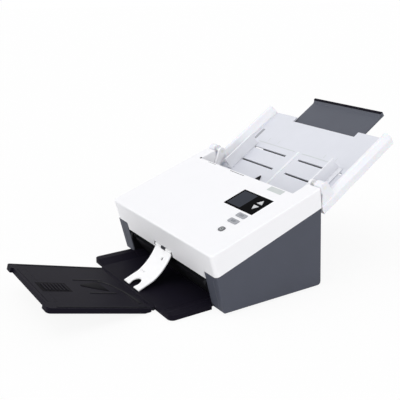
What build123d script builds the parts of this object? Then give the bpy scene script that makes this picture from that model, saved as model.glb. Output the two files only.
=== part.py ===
from build123d import *
import math
import os

# A sheet-fed desktop document scanner, in millimetres.  X runs across the machine, the front
# where the sheets come out is towards -Y, and Z is up from the desk.  Every piece is modelled
# in the machine's own frame, with Y measured from the middle of its body, and is moved at the
# end so that the origin is at the bottom centre of the whole object.

# Body and side casings
BODY_WIDTH = 316.0
CASING_WIDTH = 32.0
HALF = BODY_WIDTH / 2
INNER = HALF - CASING_WIDTH
WALL = 2.5
FOOT_HEIGHT = 3.0
FOOT_RADIUS = 9.0
BASE_FRONT = -94.0
BASE_REAR = 95.4
PARTING_FRONT_Y = -108.5
PARTING_FRONT_Z = 62.5
PARTING_REAR_Y = 86.9
PARTING_SLOPE = 20.2
CASING_REAR_ROUND = 6.0
CASING_FRONT_ROUND = 3.0
CASING_EDGE_ROUND = 1.6
PLATE_THICKNESS = 2.0
PAN_THICKNESS = 2.5
GAP = 0.3

# Cover
COVER_WALL = 2.8
OPEN_SIDE = 5.0
COVER_SEAM = 0.6
COVER_EDGE_Y = -118.8
COVER_EDGE_Z = 99.0
COVER_SLOPE = 18.9
COVER_LENGTH = 212.0
RECESS_Y = 51.5
RECESS_OVER_CASING = 4.0
RECESS_HALF = INNER + RECESS_OVER_CASING
COVER_CORNER_ROUND = 7.0
COVER_TOP_ROUND = 2.5
LIP_BOTTOM = 50.0
LIP_CLEAR = 2.0
LIP_HALF = INNER - LIP_CLEAR
NOTCH_HALF = 28.4
NOTCH_TOP = 61.6
FRAME_WALL = 2.2
FRAME_CLEAR = 4.0
FRAME_HALF = INNER - FRAME_CLEAR
FRAME_FRONT = -94.0
FRAME_REAR = 48.4
HINGE_Y = -97.0
HINGE_Z = 40.0
HINGE_RADIUS = 3.0
HINGE_EAR = 7.0
ARM_WIDTH = 6.0
RUNNING = 0.05

# Paper path: the input tray, the chute behind the rollers and the run to the exit
TRAY_Y = 95.5
TRAY_Z = 129.2
TRAY_SLOPE = 33.6
BEND_Y = 15.0
EXIT_Y = -98.0
EXIT_SLOPE = 18.6
GUIDE_BELOW = 0.5
GUIDE_THICKNESS = 2.5
FRAME_ABOVE = 1.2
NIP = 0.15
CHUTE_TOP_Y = 89.0
NARROW_INSET = 11.5
NARROW_HALF = INNER - NARROW_INSET

# Rollers
SHAFT_RADIUS = 3.0
DRIVE_RADIUS = 8.0
IDLER_RADIUS = 6.0
FEED_RADIUS = 11.0
PICK_RADIUS = 9.0
TRANSPORT_RUN = -26.0
EXIT_RUN = -100.0
FEED_RUN = 8.0
PICK_RUN = 30.0
FEED_TYRE_HALF = 22.0
TYRE_WIDTH = 20.0
TYRE_CENTRES = (30.0, 86.0)
SLOT_SPARE = 1.5
PULLEY_RADIUS = 9.0
PULLEY_WIDTH = 6.0
BELT_THICKNESS = 1.5
MOTOR_Y = 52.0
MOTOR_Z = 38.0
MOTOR_RADIUS = 18.0
MOTOR_LENGTH = 42.0

# Scan modules
SCAN_RUN = -66.0
UPPER_SCAN_SHIFT = -8.0
SCAN_WIDTH = 18.0
SCAN_INSET = 10.0
SCAN_HALF = FRAME_HALF - SCAN_INSET
SCAN_DEPTH = 14.0
GLASS_THICKNESS = 1.5

# Input tray, its rails, guides and extension
RAIL_WIDTH = 20.0
TRAY_HALF = HALF - RAIL_WIDTH
TRAY_START = -2.0
TRAY_LENGTH = 169.0
TRAY_THICKNESS = 3.0
TRAY_NOTCH_HALF = 80.0
TRAY_NOTCH_START = 157.0
RAIL_BELOW = 4.0
RAIL_CROWN = 16.0
RAIL_SHOULDER = 8.0
RAIL_START = -4.0
RAIL_ROUND = 3.0
RAIL_END_ROUND = 1.8
RAIL_WALL = 2.2
RAIL_REAR_CLEAR = 89.5
TRAY_PIVOT_Y = 94.0
TRAY_PIVOT_Z = 166.0
TRAY_EAR = 9.0
TRAY_EAR_INSET = 2.0
TRAY_PIN_RADIUS = 3.0
POST_RADIUS = 7.0
POST_WIDTH = 5.2
POST_CLEAR = 0.8
POST_INNER = RECESS_HALF - POST_WIDTH - POST_CLEAR
SLOT_NEAR = 40.0
SLOT_FAR = 75.0
SLOT_WIDTH = 4.0
SLOT_PLAY = 0.6
GUIDE_REST = 108.0
GUIDE_WALL = 2.5
GUIDE_HEIGHT = 24.0
GUIDE_START = 10.0
GUIDE_END = 84.0
GUIDE_FOOT = 9.0
GUIDE_IN = 80.0
GUIDE_OUT = 11.0
GUIDE_POST = 4.0
RACK_MODULE = 1.5
PINION_TEETH = 18
SLOT_END = 5.5
SLOT_INNER = GUIDE_REST - GUIDE_IN - 2 * SLOT_END
SLOT_OUTER = GUIDE_REST + GUIDE_OUT + SLOT_END
RACK_OVERRUN = 13.0
RACK_TAIL = GUIDE_OUT + RACK_OVERRUN
RACK_TOP = -3.3
RACK_BOTTOM = -6.0
EXTENSION_HALF = 86.0
EXTENSION_START = 105.0
EXTENSION_END = 227.0
EXTENSION_SURFACE = -6.5
EXTENSION_THICKNESS = 3.0
EXTENSION_LIP = 5.0
EXTENSION_LIP_WIDTH = 4.0
EXTENSION_TRAVEL = 53.0
CHANNEL_SPARE = 22.0
CHANNEL_START = EXTENSION_START - EXTENSION_TRAVEL - CHANNEL_SPARE
CHANNEL_END = 150.0
CHANNEL_THICKNESS = 2.4
CHANNEL_WALL = 3.6

# Output tray and its extension
OUT_INSET = 26.0
OUT_HALF = HALF - OUT_INSET
OUT_FRONT = -171.0
OUT_SHOULDER = -99.0
OUT_REAR = -78.5
OUT_BOTTOM = 1.0
OUT_FLOOR = 4.0
OUT_SHELF = 9.0
OUT_SHELF_WIDTH = 14.0
OUT_SLOPE_WIDTH = 18.0
OUT_SHELF_HALF = OUT_HALF - OUT_SHELF_WIDTH
OUT_FLOOR_HALF = OUT_SHELF_HALF - OUT_SLOPE_WIDTH
OUT_CORNER = 9.0
OUT_TONGUE = 18.0
OUT_PIN_Y = -174.8
OUT_PIN_Z = 4.7
OUT_PIN_RADIUS = 1.6
OUT_BARREL = 3.2
OUT_LUG = 64.0
OUT_LUG_WIDTH = 8.0
STACK_FOOT_Y = -178.0
STACK_FOOT_Z = 6.0
STACK_SLOPE = 15.8
STACK_HALF = 90.0
STACK_LENGTH = 160.0
STACK_TAB = 4.5
STACK_TAB_WIDTH = 20.0
STACK_SKIN = 2.4
STACK_SKIRT = 8.0
STACK_ROUND = 6.0
STACK_GRIP_RIBS = 7
STACK_GRIP_START = 140.0
STACK_GRIP_PITCH = 5.6
STACK_GRIP_X = (-4.0, 22.0)
STACK_GRIP_HALF = 1.1
STACK_GRIP_PROUD = 0.8
STOP_HALF = 66.0
STOP_DEPTH = 14.0
STOP_AXLE = 1.0
STOP_THICKNESS = 2.4
STOP_INSET = 2.0

# Paper flap at the exit
FLAP_PIN_Y = -104.5
FLAP_PIN_Z = 56.5
FLAP_PIN_RADIUS = 1.4
FLAP_BARREL = 3.0
FLAP_HALF = 25.0
FLAP_BRACKET = 2.2
FLAP_SIDE_GAP = 0.5
FLAP_THICKNESS = 1.6
FLAP_MIDDLE = (-115.5, 38.0)
FLAP_KINK = (-140.0, 16.0)
FLAP_TIP = (-166.0, 5.6)
FLAP_NOTCH_HALF = 9.5
FLAP_NOTCH_DEPTH = 17.0
FLAP_NOTCH_LIP = 1.5
FLAP_HOLES = (
    (8.0, FLAP_MIDDLE[0] + 2.5, 2.0),
    (-17.0, FLAP_KINK[0] + 3.0, 1.2),
    (-11.0, FLAP_KINK[0] + 3.0, 1.2),
)
PIN_ARM_HALF = 7.0
PIN_ARM_LENGTH = 14.0
PIN_ARM_THICKNESS = 1.6
PIN_ARM_GAP = 0.15

# Controls on the cover: places are (low x, high x), (low s, high s) up the cover's slope
PANEL_X = (HALF - 112.0, HALF - 37.0)
PANEL_S = (104.0, 149.0)
PANEL_THICKNESS = 1.7
LCD_X = (PANEL_X[0] + 4.0, PANEL_X[0] + 38.5)
LCD_S = (108.0, 146.0)
LCD_THICKNESS = 0.8
KEY_X = PANEL_X[0] + 60.0
KEY_UP_S = 134.5
KEY_DOWN_S = 122.5
KEY_WIDTH = 12.5
KEY_LENGTH = 9.8
SCAN_BUTTON = (HALF - 50.0, 94.5)
MODE_BUTTON = (HALF - 49.5, 78.0)
BUTTON_SIZE = (22.0, 10.0)
BUTTON_CORNER = 2.5
POWER_BUTTON = (HALF - 48.0, 54.3)
POWER_SIZE = (11.5, 10.5)
POWER_CORNER = 4.0
BUTTON_PROUD = 0.7
BUTTON_TRAVEL = 0.8
BUTTON_CLEAR = 0.3
FLANGE = 1.5
STEM_RADIUS = 2.0
BUTTON_RELIEF = -6.4
BOARD_DEPTH = 9.8
SWITCH_HEIGHT = 0.4
STEM_REACH = BOARD_DEPTH - BUTTON_TRAVEL - SWITCH_HEIGHT
BOARD_THICKNESS = 1.6
BOARD_X = (HALF - 108.0, HALF - 40.0)
BOARD_S = (44.0, 150.0)
PLATE_X = (HALF - 77.5, HALF - 43.0)
PLATE_S = (166.5, 178.0)
PLATE_DEPTH = 0.8
RELEASE_Y = 69.0
RELEASE_Z = 149.0
RELEASE_RADIUS = 5.0
RELEASE_TRAVEL = 2.0
RELEASE_LENGTH = RELEASE_TRAVEL + 7.0

# Sockets, board and screws in the base
INLET_X = HALF - 62.0
INLET_Z = 30.0
INLET_SIZE = 12.0
INLET_BORE = 3.0
INLET_PIN = 1.0
INLET_DEPTH = 12.0
USB_SPACING = 30.0
USB_X = INLET_X - USB_SPACING
USB_SIZE = (12.5, 11.5)
USB_WALL = 0.8
BOARD_FRONT = -20.0
BOARD_REAR = 66.0
BOARD_LIFT = 6.0
SCREW_HEAD = 2.8
SCREW_SHANK = 1.4
SCREW_LENGTH = 8.0
SCREW_SINK = 1.0
SCREW_INSET = 13.0
REAR_MIDDLE_SCREW = 30.0
SCREW_LOW = 14.0
SCREW_HIGH = 108.0

PAN_BOTTOM = FOOT_HEIGHT
PAN_TOP = PAN_BOTTOM + PAN_THICKNESS
PARTING_RISE = math.tan(math.radians(PARTING_SLOPE))
PARTING_REAR_Z = PARTING_FRONT_Z + (PARTING_REAR_Y - PARTING_FRONT_Y) * PARTING_RISE
PLATE_INNER = INNER - PLATE_THICKNESS
PLATE_FIT = PLATE_INNER - GAP
PINION_RADIUS = RACK_MODULE * PINION_TEETH / 2
PINION_T = (SLOT_NEAR + SLOT_FAR) / 2


class Slope:
    """A sloping surface: s runs up it from its foot, and h stands off it."""

    def __init__(self, foot, degrees):
        self.foot = foot
        self.cos = math.cos(math.radians(degrees))
        self.sin = math.sin(math.radians(degrees))
        plane = Plane(origin=(0, foot[0], foot[1]), x_dir=(1, 0, 0), z_dir=(0, -self.sin, self.cos))
        self.location = plane.location

    def point(self, s, h=0.0):
        """The (y, z) of a place on the slope."""
        return (self.foot[0] + s * self.cos - h * self.sin, self.foot[1] + s * self.sin + h * self.cos)

    def local(self, y, z):
        """The (s, h) of a place given by its (y, z)."""
        dy = y - self.foot[0]
        dz = z - self.foot[1]
        return (dy * self.cos + dz * self.sin, dz * self.cos - dy * self.sin)

    def outline(self, places):
        """A list of (s, h) places as (y, z) points."""
        return [self.point(s, h) for s, h in places]

    def block(self, x, s, h):
        """A box between low and high x, s and h."""
        size = Box(x[1] - x[0], s[1] - s[0], h[1] - h[0])
        return self.location * Pos(sum(x) / 2, sum(s) / 2, sum(h) / 2) * size

    def post(self, outline, x, s, h):
        """A flat outline raised off the slope from the lower h to the higher."""
        return self.location * Pos(x, s, h[0]) * extrude(outline, h[1] - h[0])


def outline_face(points):
    return make_face(Polyline(*points, close=True))


def prism(points, x):
    """A closed outline of (y, z) points swept from the lower x to the higher."""
    return sweep_x(outline_face(points), x)


def sweep_x(face, x):
    return Pos(x[0], 0, 0) * Plane.YZ.location * extrude(face, x[1] - x[0])


def rod(radius, centre, x):
    """A round bar along X about a (y, z) centre."""
    return Pos(sum(x) / 2, centre[0], centre[1]) * Rot(0, 90, 0) * Cylinder(radius, x[1] - x[0])


def block(x, y, z):
    return Pos(sum(x) / 2, sum(y) / 2, sum(z) / 2) * Box(x[1] - x[0], y[1] - y[0], z[1] - z[0])


def both(make):
    """The same span on the right and, turned over, on the left."""
    return [make(1), make(-1)]


def span(side, low, high):
    """A span of x on one side, with its lower end first."""
    return (low, high) if side > 0 else (-high, -low)


def inset(points, walls):
    """Move each side of a convex counter-clockwise outline inwards by its own wall."""
    lines = []
    for i, (y0, z0) in enumerate(points):
        y1, z1 = points[(i + 1) % len(points)]
        length = math.hypot(y1 - y0, z1 - z0)
        run = ((y1 - y0) / length, (z1 - z0) / length)
        lines.append((y0 - run[1] * walls[i], z0 + run[0] * walls[i], run))
    corners = []
    for i, (y1, z1, run1) in enumerate(lines):
        y0, z0, run0 = lines[i - 1]
        cross = run0[0] * run1[1] - run0[1] * run1[0]
        along = ((y1 - y0) * run1[1] - (z1 - z0) * run1[0]) / cross
        corners.append((y0 + run0[0] * along, z0 + run0[1] * along))
    return corners


def edges_along_x(solid, y, z, reach=1.0):
    """The edges along X that pass near a (y, z) place."""
    chosen = []
    for edge in solid.edges().filter_by(Axis.X):
        centre = edge.center()
        if abs(centre.Y - y) < reach and abs(centre.Z - z) < reach:
            chosen.append(edge)
    return chosen


def parting_z(y):
    return PARTING_FRONT_Z + (y - PARTING_FRONT_Y) * PARTING_RISE


def front_y(z):
    """The cover's front face at a height."""
    lean = (COVER_EDGE_Y - PARTING_FRONT_Y) / (COVER_EDGE_Z - PARTING_FRONT_Z)
    return PARTING_FRONT_Y + (z - PARTING_FRONT_Z) * lean


def rear_y(z):
    """The rear face of the casings at a height."""
    lean = (PARTING_REAR_Y - BASE_REAR) / (PARTING_REAR_Z - PAN_BOTTOM)
    return BASE_REAR + (z - PAN_BOTTOM) * lean


TOP = Slope((COVER_EDGE_Y, COVER_EDGE_Z), COVER_SLOPE)
TRAY = Slope((TRAY_Y, TRAY_Z), TRAY_SLOPE)
BEND_Z = TRAY_Z - (TRAY_Y - BEND_Y) * math.tan(math.radians(TRAY_SLOPE))
CHUTE = Slope((BEND_Y, BEND_Z), TRAY_SLOPE)
RUN = Slope((BEND_Y, BEND_Z), EXIT_SLOPE)
STACK = Slope((STACK_FOOT_Y, STACK_FOOT_Z), -STACK_SLOPE)
EXIT_RUN_END = (EXIT_Y - BEND_Y) / RUN.cos
CHUTE_END = (CHUTE_TOP_Y - BEND_Y) / CHUTE.cos
TRAY_PIVOT = (TRAY_PIVOT_Y, TRAY_PIVOT_Z)
HINGE = (HINGE_Y, HINGE_Z)
FLAP_PIN = (FLAP_PIN_Y, FLAP_PIN_Z)
OUT_PIN = (OUT_PIN_Y, OUT_PIN_Z)

TRANSPORT = RUN.point(TRANSPORT_RUN, -DRIVE_RADIUS - NIP)
EXIT = RUN.point(EXIT_RUN, -DRIVE_RADIUS - NIP)
SEPARATION = CHUTE.point(FEED_RUN, -FEED_RADIUS - NIP)
FEED = CHUTE.point(FEED_RUN, FEED_RADIUS + NIP)
PICK = CHUTE.point(PICK_RUN, PICK_RADIUS + NIP)
TRANSPORT_IDLER = RUN.point(TRANSPORT_RUN, IDLER_RADIUS + NIP)
EXIT_IDLER = RUN.point(EXIT_RUN, IDLER_RADIUS + NIP)
MOTOR = (MOTOR_Y, MOTOR_Z)

# The whole object's ends along Y, and the move that puts the origin in their middle.
FRONT_END = STACK.point(-STACK_LENGTH - STACK_TAB, -STACK_SKIRT)[0]
REAR_END = TRAY.point(EXTENSION_END, EXTENSION_SURFACE - EXTENSION_THICKNESS)[0]
SHIFT_Y = -(FRONT_END + REAR_END) / 2

CASING_PROFILE = [
    (BASE_FRONT, PAN_BOTTOM),
    (BASE_REAR, PAN_BOTTOM),
    (PARTING_REAR_Y, PARTING_REAR_Z),
    (PARTING_FRONT_Y, PARTING_FRONT_Z),
]


def make_casing(side):
    """A moulded side casing, open towards the middle of the machine."""
    shell = prism(CASING_PROFILE, span(side, INNER, HALF))
    shell = fillet(edges_along_x(shell, BASE_REAR, PAN_BOTTOM), CASING_REAR_ROUND)
    shell = fillet(edges_along_x(shell, BASE_FRONT, PAN_BOTTOM), CASING_FRONT_ROUND)
    outside = shell.faces().sort_by(Axis.X)[-1 if side > 0 else 0]
    shell = fillet(outside.edges(), CASING_EDGE_ROUND)
    hollow = prism(inset(CASING_PROFILE, [WALL] * 4), span(side, INNER - 1, HALF - WALL))
    return shell - hollow


def make_side_plate(side):
    """A steel plate behind each casing, which carries the shafts and the cover's pin."""
    x = span(side, PLATE_INNER, INNER)
    plate = prism(inset(CASING_PROFILE, [PAN_THICKNESS + GAP, WALL, 1.0, 1.0]), x)
    holes = [(HINGE, HINGE_RADIUS)]
    holes += [(centre, SHAFT_RADIUS) for centre in (TRANSPORT, EXIT, SEPARATION, MOTOR)]
    for centre, radius in holes:
        plate -= rod(radius + RUNNING, centre, (x[0] - 1, x[1] + 1))
    return plate


def make_base_pan():
    return block((-PLATE_FIT, PLATE_FIT), (OUT_REAR + GAP, BASE_REAR - WALL), (PAN_BOTTOM, PAN_TOP))


def make_rear_panel():
    guide_s = (PARTING_REAR_Y - 2 * WALL - BEND_Y) / CHUTE.cos
    top = CHUTE.point(guide_s, -GUIDE_BELOW - GUIDE_THICKNESS - GAP)[1]
    outline = [
        (rear_y(PAN_TOP) - WALL, PAN_TOP + GAP),
        (rear_y(PAN_TOP), PAN_TOP + GAP),
        (rear_y(top), top),
        (rear_y(top) - WALL, top),
    ]
    panel = prism(outline, (-PLATE_FIT, PLATE_FIT))
    inlet = INLET_SIZE + 2 * BUTTON_CLEAR
    panel -= Pos(INLET_X, BASE_REAR, INLET_Z) * Box(inlet, 20, inlet)
    socket = [length + 2 * BUTTON_CLEAR for length in USB_SIZE]
    panel -= Pos(USB_X, BASE_REAR, INLET_Z) * Box(socket[0], 20, socket[1])
    for x, z in rear_screw_places():
        panel -= Pos(x, rear_y(z), z) * Rot(90, 0, 0) * Cylinder(SCREW_SHANK + RUNNING, 12)
        panel -= Pos(x, rear_y(z), z) * Rot(90, 0, 0) * Cylinder(SCREW_HEAD + BUTTON_CLEAR, 2 * SCREW_SINK)
    return panel


def rear_screw_places():
    columns = (SCREW_INSET - INNER, REAR_MIDDLE_SCREW, INNER - SCREW_INSET)
    return [(x, z) for x in columns for z in (SCREW_LOW, SCREW_HIGH)]


def make_rear_screws():
    screws = []
    for x, z in rear_screw_places():
        face = rear_y(z)
        head = Pos(x, face - SCREW_SINK / 2, z) * Rot(90, 0, 0) * Cylinder(SCREW_HEAD, SCREW_SINK)
        middle = face - SCREW_SINK - SCREW_LENGTH / 2
        screws.append(head + Pos(x, middle, z) * Rot(90, 0, 0) * Cylinder(SCREW_SHANK, SCREW_LENGTH))
    return screws


def make_feet():
    places = [(x, y) for x in (-HALF + 18, HALF - 18) for y in (BASE_FRONT + 18, BASE_REAR - 20)]
    return [Pos(x, y, FOOT_HEIGHT / 2) * Cylinder(FOOT_RADIUS, FOOT_HEIGHT) for x, y in places]


def make_power_inlet():
    """A round barrel socket in a square housing, open to the rear."""
    mouth = rear_y(INLET_Z)
    housing = block((INLET_X - INLET_SIZE / 2, INLET_X + INLET_SIZE / 2), (mouth - INLET_DEPTH, mouth),
                    (INLET_Z - INLET_SIZE / 2, INLET_Z + INLET_SIZE / 2))
    deep = INLET_DEPTH - WALL
    bore = Pos(INLET_X, mouth - deep / 2, INLET_Z) * Rot(90, 0, 0) * Cylinder(INLET_BORE, deep)
    pin = Pos(INLET_X, mouth - WALL / 2 - deep / 2, INLET_Z) * Rot(90, 0, 0) * Cylinder(INLET_PIN, deep)
    return housing - bore + pin


def make_usb_port():
    mouth = rear_y(INLET_Z)
    x = (USB_X - USB_SIZE[0] / 2, USB_X + USB_SIZE[0] / 2)
    z = (INLET_Z - USB_SIZE[1] / 2, INLET_Z + USB_SIZE[1] / 2)
    shell = block(x, (mouth - INLET_DEPTH, mouth), z)
    shell -= block((x[0] + USB_WALL, x[1] - USB_WALL), (mouth - INLET_DEPTH + WALL, mouth + 1),
                   (z[0] + USB_WALL, z[1] - USB_WALL))
    tongue = (INLET_Z - 2 * USB_WALL, INLET_Z + 2 * USB_WALL)
    return shell + block((USB_X - 3, USB_X + 3), (mouth - INLET_DEPTH + WALL, mouth - WALL), tongue)


def make_main_board():
    """The main circuit board with its stand-offs and largest parts."""
    board = (PAN_TOP + BOARD_LIFT, PAN_TOP + BOARD_LIFT + BOARD_THICKNESS)
    x = (-60.0, INLET_X + 16)
    solid = block(x, (BOARD_FRONT, BOARD_REAR), board)
    for px in (x[0] + 6, x[1] - 6):
        for py in (BOARD_FRONT + 6, BOARD_REAR - 6):
            solid += Pos(px, py, PAN_TOP + BOARD_LIFT / 2) * Cylinder(3, BOARD_LIFT)
    for px, py, size, tall in ((0, 20, 24, 3), (40, 45, 16, 4), (75, 0, 14, 9), (-35, 30, 12, 7)):
        solid += Pos(px, py, board[1] + tall / 2) * Box(size, size, tall)
    return solid


def make_motor():
    """The drive motor, flanged to the left side plate."""
    wall = -PLATE_INNER
    can = rod(MOTOR_RADIUS, MOTOR, (wall + 3, wall + 3 + MOTOR_LENGTH))
    flange = rod(MOTOR_RADIUS + 4, MOTOR, (wall + RUNNING, wall + 3))
    return can + flange - rod(SHAFT_RADIUS + RUNNING, MOTOR, (wall - 1, wall + MOTOR_LENGTH - 4))


def make_motor_shaft():
    pulley = rod(PULLEY_RADIUS, MOTOR, pulley_span())
    return pulley + rod(SHAFT_RADIUS, MOTOR, (pulley_span()[0], -PLATE_INNER + MOTOR_LENGTH - 6))


def pulley_span():
    return (-INNER - 2 - PULLEY_WIDTH, -INNER - 2)


def make_belt():
    """A flat belt round the motor, transport and exit pulleys."""
    low, high = pulley_span()
    centres = Polyline(EXIT, MOTOR, TRANSPORT, close=True)
    inside = offset(make_face(centres), PULLEY_RADIUS + GAP / 2)
    outside = offset(make_face(centres), PULLEY_RADIUS + GAP / 2 + BELT_THICKNESS)
    return sweep_x(outside - inside, (low + 0.5, high - 0.5))


def make_driven_shaft(centre, half):
    """A shaft across the machine with its belt pulley in the left casing."""
    return rod(SHAFT_RADIUS, centre, (pulley_span()[0], half)) + rod(PULLEY_RADIUS, centre, pulley_span())


def tyre_spans():
    spans = []
    for middle in TYRE_CENTRES:
        spans += both(lambda side: span(side, middle - TYRE_WIDTH / 2, middle + TYRE_WIDTH / 2))
    return spans


def make_tyres(centre, radius):
    """Rubber rings on a shaft that run in the guide's windows."""
    return [rod(radius, centre, x) - rod(SHAFT_RADIUS, centre, x) for x in tyre_spans()]


def make_idler(centre):
    """A plastic shaft with four rollers moulded on it."""
    idler = rod(SHAFT_RADIUS, centre, (-FRAME_HALF, FRAME_HALF))
    for x in tyre_spans():
        idler += rod(IDLER_RADIUS, centre, x)
    return idler


def make_feed_wheel(centre, radius, half):
    """A wide rubber-covered wheel and its own shaft, in one piece."""
    return rod(radius, centre, (-FEED_TYRE_HALF, FEED_TYRE_HALF)) + rod(SHAFT_RADIUS, centre, (-half, half))


def roller_windows(slope, run, radius, spans, reach):
    """Windows through a sheet for a row of rollers."""
    cut = Part()
    half = radius + SLOT_SPARE
    for x in spans:
        cut += slope.block((x[0] - SLOT_SPARE, x[1] + SLOT_SPARE), (run - half, run + half), reach)
    return cut


def bend_point(h):
    """Where the two slopes of the path meet, h above it."""
    half_turn = math.radians((TRAY_SLOPE - EXIT_SLOPE) / 2)
    return RUN.point(-h * math.tan(half_turn), h)


def make_lower_guide():
    """The fixed sheet that paper slides down, from the input tray to the exit."""
    low = -GUIDE_BELOW - GUIDE_THICKNESS
    high = -GUIDE_BELOW
    outline = [RUN.point(EXIT_RUN_END, low), bend_point(low), CHUTE.point(CHUTE_END, low),
               CHUTE.point(CHUTE_END, high), bend_point(high), RUN.point(EXIT_RUN_END, high)]
    guide = prism(outline, (-PLATE_FIT, PLATE_FIT))
    reach = (-20, 20)
    guide -= roller_windows(RUN, TRANSPORT_RUN, DRIVE_RADIUS, tyre_spans(), reach)
    guide -= roller_windows(RUN, EXIT_RUN, DRIVE_RADIUS, tyre_spans(), reach)
    feed = [(-FEED_TYRE_HALF, FEED_TYRE_HALF)]
    guide -= roller_windows(CHUTE, FEED_RUN, FEED_RADIUS, feed, reach)
    guide -= RUN.block((-SCAN_HALF - GAP, SCAN_HALF + GAP),
                       (SCAN_RUN - SCAN_WIDTH / 2 - GAP, SCAN_RUN + SCAN_WIDTH / 2 + GAP), reach)
    for x in both(lambda side: span(side, NARROW_HALF, HALF)):
        guide -= block(x, (EXIT_Y - 10, HINGE_Y + HINGE_EAR + 4), (0, 60))
    return guide


def make_front_cowl():
    """The dark wall under the exit, leaning back to the pan."""
    high = RUN.point(EXIT_RUN_END, -GUIDE_BELOW - GUIDE_THICKNESS - GAP)
    low = (OUT_REAR + 3, PAN_TOP + RUNNING)
    outline = [low, (low[0] + WALL, low[1]), (high[0] + WALL + 0.4, high[1]), high]
    cowl = prism(outline, (-PLATE_FIT, PLATE_FIT))
    for x in both(lambda side: span(side, NARROW_HALF, HALF)):
        cowl -= block(x, (EXIT_Y - 10, HINGE_Y + HINGE_EAR + 4), (HINGE_Z - HINGE_EAR - 5, 60))
    return cowl


def make_scan_module(shift, side):
    """A contact image sensor in its channel: side is -1 below the path and 1 above it."""
    run = SCAN_RUN + shift
    near = FRAME_ABOVE if side > 0 else GUIDE_BELOW
    h = sorted((side * (near + GLASS_THICKNESS), side * (near + SCAN_DEPTH)))
    body = RUN.block((-SCAN_HALF, SCAN_HALF), (run - SCAN_WIDTH / 2, run + SCAN_WIDTH / 2), h)
    lamp = sorted((side * (near + GLASS_THICKNESS), side * (near + GLASS_THICKNESS + 2)))
    return body - RUN.block((-SCAN_HALF + 3, SCAN_HALF - 3), (run - 2, run + 2), lamp)


def make_scan_glass(shift, side):
    run = SCAN_RUN + shift
    near = FRAME_ABOVE if side > 0 else GUIDE_BELOW
    h = sorted((side * near, side * (near + GLASS_THICKNESS)))
    return RUN.block((-SCAN_HALF, SCAN_HALF), (run - SCAN_WIDTH / 2, run + SCAN_WIDTH / 2), h)


def make_scan_brackets():
    """Two cross bars that carry the lower sensor between the side plates."""
    h = (-GUIDE_BELOW - SCAN_DEPTH - 2.0, -GUIDE_BELOW - SCAN_DEPTH)
    return RUN.block((-PLATE_FIT, PLATE_FIT), (SCAN_RUN - SCAN_WIDTH / 2, SCAN_RUN + SCAN_WIDTH / 2), h)


def make_hinge_pins():
    """The two pins that the cover's arms turn on."""
    inner = FRAME_HALF - ARM_WIDTH - 0.8
    return both(lambda side: rod(HINGE_RADIUS, HINGE, span(side, inner, INNER - RUNNING)))


def cover_outline():
    low = parting_z(PARTING_FRONT_Y) + COVER_SEAM
    rear_top = TOP.point(COVER_LENGTH)
    rear_low_y = PARTING_REAR_Y
    return [
        (front_y(low), low),
        (rear_low_y, parting_z(rear_low_y) + COVER_SEAM),
        rear_top,
        (COVER_EDGE_Y, COVER_EDGE_Z),
    ]


def button_places():
    """Each push button's size, corner and place up the slope."""
    return {
        "scan_button": (BUTTON_SIZE, BUTTON_CORNER, SCAN_BUTTON),
        "mode_button": (BUTTON_SIZE, BUTTON_CORNER, MODE_BUTTON),
        "power_button": (POWER_SIZE, POWER_CORNER, POWER_BUTTON),
    }


def button_outline(size, corner, spare=0.0):
    return RectangleRounded(size[0] + 2 * spare, size[1] + 2 * spare, corner + spare)


def key_outline(turned, spare=0.0):
    """An arrow key: a triangle that points up the slope, or down it when turned."""
    grow = 1 + 2 * spare / (KEY_LENGTH / 3)
    half = KEY_WIDTH / 2 * grow
    up = KEY_LENGTH * 2 / 3 * grow
    down = KEY_LENGTH / 3 * grow
    sign = -1 if turned else 1
    return make_face(Polyline((-half, -sign * down), (half, -sign * down), (0, sign * up), close=True))


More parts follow.
